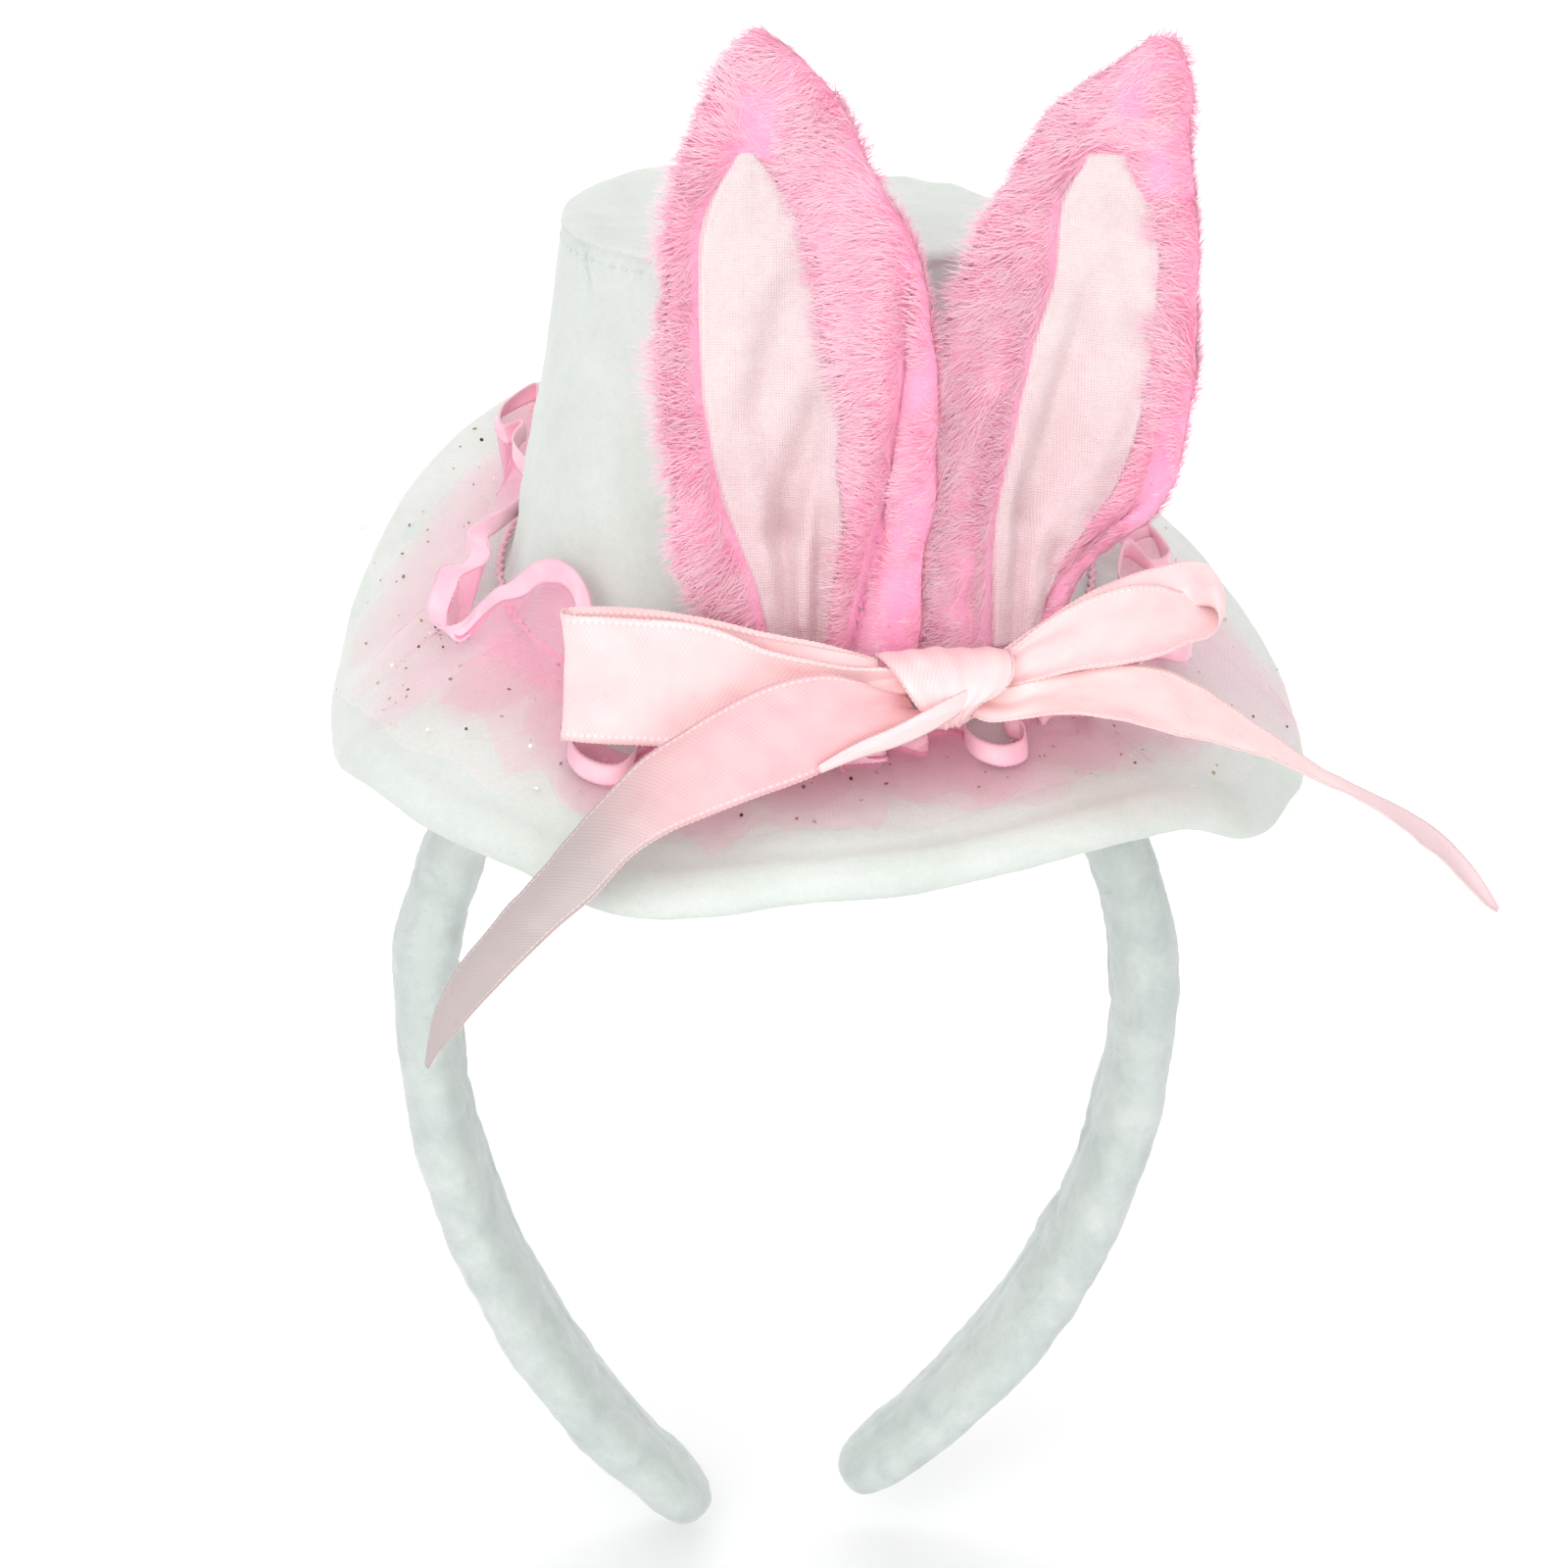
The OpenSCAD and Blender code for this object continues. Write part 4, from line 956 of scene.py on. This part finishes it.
# ---------------------------------------------------------------- bow
# Rows of the ribbon: its upper edge's x, y, z and its lower edge's.
LEFT_LOOP = [
    (11.0, -57.0, 71.1, 11.0, -57.0, 67.3), (4.9, -56.0, 72.4, 5.0, -56.5, 63.7),
    (-3.7, -54.8, 74.0, -3.7, -55.2, 60.6), (-14.4, -53.2, 76.0, -14.5, -53.6, 59.4),
    (-22.2, -51.0, 76.3, -22.4, -51.4, 58.4), (-27.4, -49.8, 76.1, -28.0, -50.2, 57.9),
    (-29.9, -49.9, 76.0, -30.3, -50.4, 57.9), (-30.6, -51.5, 76.1, -31.1, -52.0, 58.3),
    (-30.3, -53.2, 76.2, -30.6, -53.7, 58.9), (-27.3, -54.5, 76.2, -27.6, -55.0, 59.0),
    (-20.8, -55.6, 76.2, -21.0, -56.4, 59.1), (-14.4, -56.8, 76.0, -14.5, -57.8, 59.2),
    (-9.9, -57.8, 75.1, -8.7, -58.8, 59.5), (-3.8, -59.0, 72.9, -1.6, -60.0, 60.6),
    (6.1, -60.3, 71.0, 6.1, -61.3, 62.6), (11.8, -60.8, 70.9, 11.8, -61.6, 65.0),
    (15.1, -60.0, 70.0, 15.1, -60.5, 66.4)]
RIGHT_LOOP = [
    (26.7, -58.5, 71.4, 26.6, -61.0, 67.9), (32.1, -56.0, 75.0, 31.6, -62.0, 69.6),
    (38.1, -53.5, 77.7, 36.7, -61.8, 70.8), (43.9, -51.6, 79.1, 42.6, -60.8, 71.4),
    (48.0, -49.6, 78.6, 47.6, -59.6, 72.1), (51.4, -48.6, 77.4, 51.5, -58.2, 73.2),
    (54.0, -47.6, 77.4, 54.2, -56.8, 73.4), (55.9, -46.6, 78.4, 55.9, -55.0, 74.6),
    (55.6, -45.4, 80.0, 55.6, -52.6, 76.4), (53.0, -45.0, 80.6, 53.0, -49.6, 75.6),
    (48.9, -45.8, 80.0, 48.8, -49.4, 73.6), (44.4, -47.6, 79.2, 44.2, -51.4, 72.6),
    (38.4, -50.8, 77.6, 38.1, -54.5, 71.8), (32.2, -54.6, 74.8, 32.1, -57.0, 70.4),
    (26.8, -57.0, 71.5, 26.8, -58.0, 68.9)]
LEFT_TAIL = [
    (13.1, -61.5, 67.1, 19.6, -61.5, 64.6), (10.3, -63.0, 68.7, 16.8, -62.8, 63.7),
    (7.5, -63.6, 70.2, 11.7, -64.6, 62.1), (3.1, -63.8, 71.1, 5.9, -67.0, 60.3),
    (-3.0, -64.2, 70.0, 1.0, -69.0, 58.6), (-8.8, -64.8, 67.4, -5.6, -71.0, 56.8),
    (-14.4, -65.6, 64.2, -11.7, -72.5, 54.9), (-20.2, -66.8, 60.5, -17.0, -74.0, 53.1),
    (-25.1, -68.5, 56.0, -21.7, -75.0, 50.2), (-30.1, -70.0, 50.6, -26.5, -75.5, 45.0),
    (-34.9, -71.0, 45.3, -31.5, -75.5, 40.5), (-39.8, -71.5, 39.7, -36.5, -75.0, 35.3),
    (-44.2, -71.2, 33.8, -41.1, -73.5, 29.8), (-47.3, -70.0, 27.7, -44.7, -71.5, 24.8),
    (-48.8, -68.5, 22.4, -47.6, -69.0, 20.6), (-49.6, -67.0, 18.0, -49.2, -67.0, 17.3)]
RIGHT_TAIL = [
    (22.1, -60.5, 67.7, 21.3, -60.5, 65.4), (27.8, -61.5, 68.4, 25.2, -63.8, 64.4),
    (31.9, -61.3, 69.4, 30.1, -66.0, 65.8), (35.4, -60.8, 70.0, 33.6, -68.5, 67.2),
    (39.2, -60.2, 70.7, 37.5, -70.0, 67.4), (42.7, -59.7, 70.8, 41.6, -71.0, 66.8),
    (48.5, -58.8, 69.8, 46.7, -71.0, 65.5), (53.9, -57.5, 66.8, 51.9, -69.5, 63.7),
    (58.4, -56.0, 63.4, 56.3, -67.5, 62.0), (63.9, -55.0, 59.2, 62.0, -65.0, 59.6),
    (69.6, -54.0, 55.0, 67.8, -62.5, 56.4), (75.9, -53.0, 51.3, 73.9, -60.5, 52.6),
    (82.2, -52.5, 47.8, 80.3, -58.5, 47.9), (87.9, -52.0, 43.9, 86.2, -56.0, 42.6),
    (92.2, -51.8, 39.4, 90.9, -54.0, 37.8), (95.1, -52.0, 35.3, 94.0, -53.0, 34.5),
    (96.4, -52.0, 32.9, 96.4, -52.0, 32.5)]
# The knot's wrap, from behind its top over the front and back: left and right edges.
KNOT = [
    (11.4, -55.5, 71.0, 27.0, -55.5, 71.4), (10.5, -57.8, 71.9, 27.8, -57.8, 72.4),
    (11.6, -60.8, 71.7, 28.1, -60.5, 72.6), (13.0, -63.0, 70.6, 28.2, -62.6, 71.7),
    (14.3, -64.4, 68.9, 27.8, -64.0, 70.3), (15.7, -65.0, 66.9, 26.3, -64.8, 68.7),
    (17.4, -64.8, 65.1, 23.8, -64.8, 67.2), (18.7, -63.0, 63.5, 22.5, -63.0, 65.0),
    (18.6, -59.5, 62.3, 23.8, -59.5, 63.9), (17.0, -56.0, 62.8, 25.0, -56.0, 63.9),
    (14.8, -54.3, 65.5, 26.1, -54.3, 66.7), (12.3, -54.0, 68.7, 26.8, -54.0, 69.7)]
KNOT_FOLD = [
    (22.6, -64.4, 69.4, 22.4, -64.9, 67.3), (19.6, -65.8, 68.4, 19.9, -66.0, 65.6),
    (16.2, -66.9, 66.9, 16.6, -66.8, 63.9), (12.5, -67.2, 65.0, 12.9, -67.3, 62.4),
    (7.6, -67.6, 62.9, 8.0, -67.8, 61.0), (2.6, -68.9, 60.4, 3.0, -69.0, 59.4)]


def ruled(rows, steps, cols, bow):
    """A strip between its two edges. bow(s, u) lifts it off the straight line between them."""
    R = spline(rows, steps)
    A, B = R[:, None, :3], R[:, None, 3:]
    u = np.linspace(0, 1, cols)[None, :, None]
    G = A + (B - A) * u
    s = np.linspace(0, 1, len(R))[:, None]
    G = G + normals(G) * bow(s, u[..., 0])[..., None]
    L = lengths(G[:, cols // 2])
    return G, pair(u[..., 0] * RIBBON, L[:, None]), float(L[-1])


def pleats(at, deep, count, phase, reach):
    """Pleats along the strip that die away from one of its ends (at is 0 or 1)."""
    def lift(s, u):
        fade = np.exp(-(np.abs(s - at) / reach) ** 1.5)
        return deep * fade * np.cos(2 * pi * count * u + phase) * np.sqrt(np.clip(4 * u * (1 - u), 0, 1))
    return lift


def arch(deep):
    return lambda s, u: deep * 4 * u * (1 - u) * np.sin(pi * np.clip(s, 0.02, 0.98)) ** 0.5


def total(*parts):
    return lambda s, u: sum(p(s, u) for p in parts)


def ribbon_piece(name, rows, node, bow, seed=0, look=SATIN):
    G, uv, length = ruled(rows, 14, 26, bow)
    G = G + normals(G) * (0.10 * wobble(G, 11, 77 + seed) + 0.03 * wobble(G, 4, 78 + seed))[..., None]
    ob = shell(name, G, RIBBON_THICK, look, uv=uv)
    edge = threads_object(name + "_edges", [beads(G[:, c], PICOT, PICOT_PITCH) for c in (0, -1)], SATIN)
    for o in (ob, edge):
        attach(o, "hat")
    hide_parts(node)


def make_bow():
    # a narrow fold of the ribbon under the knot, part of the tail it comes from
    G, uv, _ = ruled(KNOT_FOLD, 14, 9, arch(-0.5))
    fold = shell("bow_knot_fold_satin", G, RIBBON_THICK, SATIN, uv=uv)
    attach(fold, "hat")
    ribbon_piece("bow_left_loop_satin", LEFT_LOOP, "bow_left_loop", seed=1,
                 bow=total(arch(-0.5), pleats(0, 0.7, 1.6, 0.3, 0.13), pleats(1, 0.75, 1.5, 0.8, 0.15)))
    ribbon_piece("bow_right_loop_satin", RIGHT_LOOP, "bow_right_loop", seed=2,
                 bow=total(arch(-1.1), pleats(0, 0.6, 1.4, 2.2, 0.16), pleats(1, 0.5, 1.5, 0.2, 0.12)))
    ribbon_piece("bow_left_tail_satin", LEFT_TAIL, "bow_left_tail", seed=3,
                 look=LEFT_TAIL_SATIN_PAINTED_SHADE, bow=total(arch(-0.9), pleats(0, 0.9, 1.3, 2.6, 0.15)))
    ribbon_piece("bow_right_tail_satin", RIGHT_TAIL, "bow_right_tail", seed=4,
                 look=RIGHT_TAIL_SATIN_PAINTED_SHADE, bow=total(arch(-0.8), pleats(0, 0.7, 1.2, 0.4, 0.13)))
    # the knot: the ribbon wrapped round the middle, closed round and rolled in at both sides
    R = spline(KNOT + KNOT[:1], 8)[:-1]
    A, B = R[:, None, :3], R[:, None, 3:]
    mid = np.array([20.0, -59.6, 67.6])
    u = np.linspace(0, 1, 40)[None, :]
    G = A + (B - A) * u[..., None]
    away = unit((G - mid) * np.array([0.15, 1, 1]))
    t = np.linspace(0, 1, len(R))[:, None]
    roll = 0.55 * (1 - np.abs(2 * u - 1) ** 3)
    crease = 0.12 * np.sin(2 * pi * (2.3 * u + 0.25 * np.sin(2 * pi * t)) + 0.7) \
        + 0.12 * np.sin(2 * pi * (5.2 * u - 0.3 * np.sin(2 * pi * t)))
    crease = crease * (4 * u * (1 - u)) ** 0.5
    G = G + away * (roll + crease)[..., None]

    def tucked(col, k):
        return mid + (G[:, col] - mid) * np.array([0.9 - 0.1 * (1 - k), k, k])
    left, right = [tucked(0, k) for k in (0.3, 0.55, 0.80)], [tucked(-1, k) for k in (0.80, 0.55, 0.3)]
    G = np.concatenate([np.stack(left, 1), G, np.stack(right, 1)], 1).transpose(1, 0, 2)
    n, m = G.shape[:2]
    uv = pair(np.arange(m)[None, :] * 0.34, np.arange(n)[:, None] * 0.4).reshape(-1, 2)
    knot = build("bow_knot_wrap", G.reshape(-1, 3), drum_faces(n, m), SATIN, uv)
    rims = [np.vstack([G[c], G[c][:1]]) for c in (3, -4)]
    edge = threads_object("bow_knot_edges", [beads(rim, PICOT, PICOT_PITCH) for rim in rims], SATIN)
    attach(edge, "hat")
    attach(knot, "hat"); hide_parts("bow_knot")


# ---------------------------------------------------------------- ruffle
# The satin edge's upper and lower line where it folds at the wearer's right of the crown.
EDGE_FOLDS = [
    (-36.0, 12.0, 77.0, -36.5, 12.5, 74.0), (-39.1, 4.4, 76.8, -39.3, 3.6, 74.3),
    (-41.3, -1.9, 76.6, -41.3, -2.6, 74.2), (-43.5, -5.3, 76.2, -42.2, -5.0, 74.0),
    (-45.8, -8.0, 75.3, -43.0, -8.3, 74.2), (-45.7, -10.2, 74.2, -42.9, -10.5, 74.1),
    (-45.5, -12.1, 73.3, -42.6, -11.8, 73.4), (-45.8, -13.3, 72.4, -42.5, -13.6, 72.8),
    (-46.8, -12.9, 71.5, -43.6, -15.0, 72.0), (-49.6, -10.9, 70.6, -46.6, -13.4, 69.9),
    (-50.5, -11.4, 69.0, -47.4, -14.0, 68.2), (-51.2, -13.1, 67.2, -48.2, -15.1, 66.4),
    (-51.6, -14.6, 65.3, -48.8, -16.5, 64.5), (-49.9, -18.2, 63.9, -47.9, -19.2, 62.6),
    (-46.4, -19.6, 64.9, -46.3, -20.4, 62.4), (-43.8, -18.8, 67.4, -43.4, -20.2, 65.4),
    (-41.4, -20.3, 70.0, -40.6, -22.8, 68.6), (-39.4, -22.2, 71.4, -38.2, -24.9, 69.9),
    (-37.9, -23.3, 72.9, -36.6, -26.0, 70.9), (-36.4, -24.8, 74.6, -35.3, -27.2, 72.4),
    (-34.8, -26.6, 76.0, -34.4, -28.8, 73.4), (-33.1, -28.8, 76.8, -33.1, -30.6, 74.1),
    (-31.4, -30.7, 76.8, -31.4, -32.4, 74.3), (-29.7, -32.7, 76.2, -30.2, -33.9, 73.4),
    (-28.4, -34.4, 75.0, -29.5, -35.6, 72.2), (-27.5, -36.4, 73.0, -29.1, -37.6, 70.6),
    (-27.2, -39.2, 70.2, -29.0, -40.4, 68.2)]
# Where the satin edge's upper line loops in front of the crown, left of the bow and under its knot.
EDGE_LOOPS = {
    -33: [(-28.6, -44.0, 63.6), (-30.1, -47.6, 58.2), (-29.1, -50.9, 56.4), (-26.4, -52.6, 55.3),
          (-23.5, -53.0, 55.2), (-21.6, -51.4, 56.2), (-20.4, -49.0, 57.4), (-17.6, -48.4, 58.4)],
    18: [(17.2, -51.4, 58.4), (17.6, -48.8, 59.8), (19.9, -47.4, 60.2), (22.4, -48.4, 60.0),
         (22.9, -51.4, 59.4), (24.6, -53.9, 58.6), (27.8, -54.6, 58.0), (30.6, -52.8, 58.4),
         (30.6, -49.6, 59.6), (28.6, -47.6, 60.4)],
}
# How far out the organza lies: angle and radius.
ORGANZA_REACH = [
    (-180, 61), (-140, 60), (-112, 62), (-94, 65.5), (-79, 65), (-64, 66), (-55, 62), (-48, 55.5),
    (-42, 56), (-33, 62), (-19, 68.5), (-13, 66), (-8, 62), (-2, 63), (3, 61), (12, 62), (19, 63.5),
    (24, 69.5), (31, 69), (46, 68), (62, 67), (72, 70), (81, 79), (90, 79), (99, 67), (108, 63), (140, 60),
    (180, 61)]
# The other folds of the satin edge: middle, radius it swings out to, and height.
EDGE_WAVES = [
    (-33, 0, 0), (-14, 56.5, 4.2), (-3, 55.0, 4.4), (8, 56.0, 4.2), (18, 0, 0), (40, 57.0, 5.0),
    (53, 57.5, 6.0), (68, 59.0, 7.0), (85, 55.0, 8.5), (103, 53.5, 10.5), (122, 54.0, 11.0),
    (141, 52.5, 10.0), (160, 53.5, 11.5), (179, 52.5, 10.5), (198, 54.0, 11.0), (217, 52.5, 10.5),
    (236, 53.0, 11.5)]


# The hem of the organza under the bow: angle and radius.
UNDER_HEM = [
    (-62, 54), (-56, 60), (-50, 57), (-41, 63.5), (-35, 60.5), (-24, 67.5), (-19, 63), (-9, 69), (-4, 64),
    (6, 67.5), (10, 62.5), (23, 67), (28, 61.5), (40, 67), (46, 63), (57, 66), (66, 57)]


def satin_line(r):
    """Closed rows of the satin edge: its upper and lower lines."""
    rows = list(EDGE_FOLDS)
    mids = [w[0] for w in EDGE_WAVES]
    r2 = np.random.default_rng(43)
    for k, (mid, out, high) in enumerate(EDGE_WAVES):
        if mid in EDGE_LOOPS:
            for x, y, z in EDGE_LOOPS[mid]:
                rows.append((x, y, z, x + 0.012 * (x - HAT_X), y * 1.014, z - 2.7))
            continue
        gap = (mids[k + 1] - mid if k + 1 < len(mids) else 256 - mid) / 2
        front = bump(turned(mid - 18), 55)
        loose = smoothstep(mid, 60, 110)                   # less even at the side and the back
        shift = mid + loose * r2.uniform(-3, 3)
        out += loose * r2.uniform(-2.2, 1.6)
        high += loose * r2.uniform(-2.6, 1.8)
        low = 46.6 + 5.2 * front
        for da, share in ((-0.34, 0.05), (-0.66, 0.5), (-0.42, 0.95), (0.34, 1.0), (0.68, 0.5), (0.34, 0.06),
                          (1.0, -0.12)):
            a = shift + gap * (da + r.uniform(-0.1, 0.1) * (1 + loose))
            rr = low + (out - low) * share + r.uniform(-0.7, 0.7)
            h = high + r.uniform(-0.9, 0.9) + 0.8 * (share > 0.8)
            top = polar(np.float64(rr), a, brim_top(rr, a) + h)
            lean = r.uniform(-1.0, 1.6)
            under = polar(np.float64(rr + lean), a, brim_top(rr, a) + max(h - 2.7, 0.9))
            rows.append(tuple(top) + tuple(under))
    return rows


def smooth_round(x, width):
    """A running mean round a closed loop."""
    k = np.exp(-np.linspace(-2, 2, width) ** 2)
    k /= k.sum()
    pad = np.concatenate([x[-width:], x, x[:width]])
    return np.convolve(pad, k, "same")[width:-width]


def on_brim(R, A, H):
    """Points at height H over the brim, or over its rim where they are past it."""
    return polar(R, A, brim_top(np.minimum(R, rim_r(A)), A) + H)


def gathered_organza(top, low):
    """From the satin edge's lower line down to where it is gathered, and out over the brim in pleats."""
    n, turn = len(low), 0.42                                # the gathers are at this share of its width
    ang = np.degrees(np.unwrap(np.arctan2(low[:, 0] - HAT_X, -low[:, 1])))
    rad_low = np.hypot(low[:, 0] - HAT_X, low[:, 1])
    ramp = np.arange(n) / n * 360.0
    flat_a = smooth_round(ang - ramp, 41) + ramp
    even = smooth_round(ang - ramp, 91) + ramp
    high = low[:, 2] - brim_top(np.minimum(rad_low, rim_r(ang)), ang)
    t = np.linspace(0, 1, 40)[:, None]
    gather_r = 50.5 + 4.0 * bump(turned(even - 18), 50) + 0.25 * (rad_low - 50)
    psi = np.radians(even) * 26
    zig = np.abs(((even / 13.0) % 1) - 0.5) * 2
    reach = along(ORGANZA_REACH, turned(even)) + 2.6 * (zig - 0.5) + 0.8 * np.sin(psi) - 0.6
    q = np.clip(t / turn, 0, 1)
    o = np.clip((t - turn) / (1 - turn), 0, 1)
    R = rad_low * (1 - q) ** 1.2 + gather_r * (1 - (1 - q) ** 1.2) + (reach - gather_r) * o
    A = ang * (1 - q) + flat_a * q
    A = A * (1 - o) + (even + 2.2 * np.sin(np.radians(even) * 27.7 + 0.5)) * o
    H = high * (1 - q) ** 1.5 + 1.0 + 0.8 * q
    fold = 0.5 + 0.5 * np.sin(psi * 0.5 + 1.2 * np.sin(np.radians(even) * 5))
    H = H + o * (1 - 0.5 * o) * (2.6 * fold ** 1.5 + 0.4 * np.sin(psi * 2)) - 0.6 * o
    puffed = bump(turned(even + 72), 26) * np.sin(pi * np.clip(o * 1.1, 0, 1))
    H = H + 2.2 * puffed * (0.6 + 0.4 * np.sin(psi))
    G = on_brim(R, A, H)
    G = G + (0.22 * wobble(G, 8, 43) * t)[..., None] * np.array([1, 1, 0.7])
    G[0] = low
    return G, cloth("ruffle_organza", G, ORGANZA, pair(lengths(top), FRILL * t), wrap=True)


def under_organza():
    """A second width of organza, pleated flat under the bow."""
    b = np.linspace(-62, 66, 520)
    t = np.linspace(0, 1, 34)[:, None]
    hem = np.interp(b, *zip(*UNDER_HEM))
    inner = 44.4
    R = inner + (hem - inner) * t
    A = b + 1.6 * np.sin(np.radians(b) * 15 + 0.4) * t ** 1.4
    tooth = np.abs((b / 4.75 + 0.3 * np.sin(np.radians(b) * 5)) % 1 - 0.5) * 2
    H = 1.3 + 1.7 * np.sin(pi * np.clip(t * 1.25, 0, 1)) ** 0.8 * (0.25 + 0.75 * tooth) + 0.5 * tooth * t
    G = on_brim(R, A, H)
    G = G + (0.2 * wobble(G, 9, 47) * t)[..., None]
    return G, cloth("ruffle_organza_under", G, UNDER_ORGANZA_PAINTED_LIGHT, pair(np.radians(b) * 60, 5 + 18 * t))


def glitter_tulle():
    """Over the whole brim, and a little past the rim in places."""
    n = 540
    a = np.arange(n) * 360 / n
    t = np.linspace(0, 1, 30)[:, None]
    rim = rim_r(a)
    past = -2.2 + 0.9 * wobble(polar(rim, a, rim_z(a)), 26, 51)
    for mid, more, width in ((-92, 6.0, 5), (-112, 6.5, 4.5), (97, 8.0, 9), (-22, -5.5, 40), (42, -3.5, 26)):
        past = past + more * bump(turned(a - mid), width)
    inner = 43.5
    R = inner + (rim + past - inner) * t
    gath = 1 - smoothstep(t, 0.05, 0.75)
    H = 0.75 + 1.6 * np.exp(-((t - 0.12) / 0.16) ** 2)
    H = H + 0.7 * np.sin(np.radians(a) * 37 + 1.5 * np.sin(np.radians(a) * 5)) * gath
    H = H + 0.35 * (1 + wobble(polar(R, a, 0), 15, 52)) * t
    H = H + 0.9 * smoothstep(R - rim, -1.0, 2.5) + 0.5 * smoothstep(t, 0.3, 0.9)
    G = on_brim(R, a, H)
    return G, cloth("brim_glitter_tulle", G, TULLE, pair(np.radians(a) * 60, R), wrap=True)


def glitter_flecks(sheets):
    """Six-sided flecks strewn on each of some sheets: (grid, count)."""
    r = np.random.default_rng(61)
    co, quads, ends, k = [], [], [], np.arange(6)
    for F, count in sheets:
        N = normals(F, True)
        for q, w in zip(r.integers(3, F.shape[0] - 1, count), r.integers(0, F.shape[1], count)):
            c = F[q, w] + N[q, w] * (0.22 if N[q, w][2] > 0 else -0.22)
            nrm = unit(N[q, w] + r.normal(size=3) * 0.45)
            u = unit(np.cross(nrm, r.normal(size=3)))
            v = np.cross(nrm, u)
            spokes = np.cos(k * pi / 3)[:, None] * u + np.sin(k * pi / 3)[:, None] * v
            ring = c + r.uniform(0.16, 0.36) * spokes
            start = 6 * len(co)
            co += [ring + nrm * 0.04, ring - nrm * 0.04]
            nxt = (k + 1) % 6
            quads.append(np.stack([start + k, start + 6 + k, start + 6 + nxt, start + nxt], -1))
            ends += [start + k, start + 6 + k[::-1]]
    return build("glitter", np.vstack(co), [np.vstack(quads), np.vstack(ends)], GLITTER, smooth=False)


def make_ruffle():
    rows = satin_line(np.random.default_rng(41))
    steps = 9
    loop = spline(rows[-3:] + rows + rows[:4], steps)[3 * steps:][:len(rows) * steps]
    top, low = loop[:, :3], loop[:, 3:]
    # the satin edge, cupped a little across its width
    s = np.linspace(0, 1, 9)[:, None, None]
    tang = unit(np.roll(top, -1, 0) - np.roll(top, 1, 0))
    cup = 0.35 * unit(np.cross(tang, low - top))
    E = top + (low - top) * s + cup * 4 * s * (1 - s) * np.sin(np.arange(len(top)) * 0.11)[:, None]
    uv = pair(3.0 * s[..., 0], lengths(top))
    edge = shell("ruffle_satin_edging", E, 0.34, EDGE_SATIN, wrap=True, uv=uv)
    rims = [np.vstack([E[c], E[c][:1]]) for c in (0, -1)]
    picot = threads_object("ruffle_edge_threads", [beads(rim, 0.16, 0.8, 5) for rim in rims], EDGE_SATIN)
    G, organza = gathered_organza(top, low)
    under_G, under = under_organza()
    # gathering cord against the crown
    a = np.linspace(0, 360, 720)
    z = brim_top(43.6, a) + 1.2 + 0.2 * np.cos(np.radians(a) * 120)
    cord = polar(43.4 + 0.25 * np.sin(np.radians(a) * 120), a, z)
    gather = threads_object("ruffle_gathering", [beads(cord, 0.5, 1.4, 8)], EDGE_SATIN)
    tulle_G, tulle = glitter_tulle()
    flecks = glitter_flecks([(tulle_G, 170), (G[14:], 130)])
    for ob, nodes, slot in ((organza, ["tulle_upper_layer"], "tulle"),
                            (edge, ["ruffle_satin_edge"], "ruffle_satin"),
                            (picot, [], "ruffle_satin"), (gather, ["ruffle_gather_cord"], "ruffle_satin"),
                            (under, [], "tulle"), (tulle, ["tulle_lower_layer"], "tulle"),
                            (flecks, ["glitter_flecks"], "glitter")):
        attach(ob, "hat")
        if slot == "tulle":
            ob.visible_shadow = False        # sheer cloth scatters the light on to what lies under it
        if nodes:
            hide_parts(*nodes)


def make_stage():
    low = cad_box[0][2] - 0.001
    prof = [(-2.2, low), (0.9, low)]
    for t in np.linspace(0, pi / 2, 16)[1:]:
        prof.append((0.9 + 0.6 * math.sin(t), low + 0.6 * (1 - math.cos(t))))
    prof.append((1.5, low + 3.0))
    co = np.array([(x, y, z) for y, z in prof for x in (-3.0, 3.0)]) / MM
    k = Look("backdrop_paper", rough=0.9, specular=0.1)
    k.link(k.ramp(k.noise(6, 2), [(0.3, 0.93), (0.7, 0.955)]), "Base Color")
    ob = build("backdrop", co, grid_faces(len(prof), 2, False, 0, True), k.m)


camera()
make_stage()
light("key", (-0.55, -1.15, 0.70), (0, 0, 0.05), 1.2, 5.5)
light("fill", (0.75, -1.05, 0.45), (0, 0, 0.05), 1.0, 1.9)
light("front", (-0.20, -1.45, 0.42), (0, 0, 0.05), 1.5, 5.6)
light("paper", (0.0, 0.62, 1.0), (0, 1.5, 0.25), 1.2, 9.0)
light("top", (0.05, -0.35, 1.15), (0, 0, 0.08), 1.0, 2.0)
world = bpy.data.worlds.new("soft_sky")
bpy.context.scene.world = world
world.use_nodes = True
world.node_tree.nodes["Background"].inputs[0].default_value = (1.0, 1.0, 1.0, 1)
world.node_tree.nodes["Background"].inputs[1].default_value = 0.70
bpy.context.scene.view_settings.view_transform = "Standard"

make_brim()
make_crown()
make_pad()
make_band(-1, LEFT_ARM, 31)
make_band(1, RIGHT_ARM, 37)
make_ear("left", 101)
make_ear("right", 201)
make_bow()
make_ruffle()
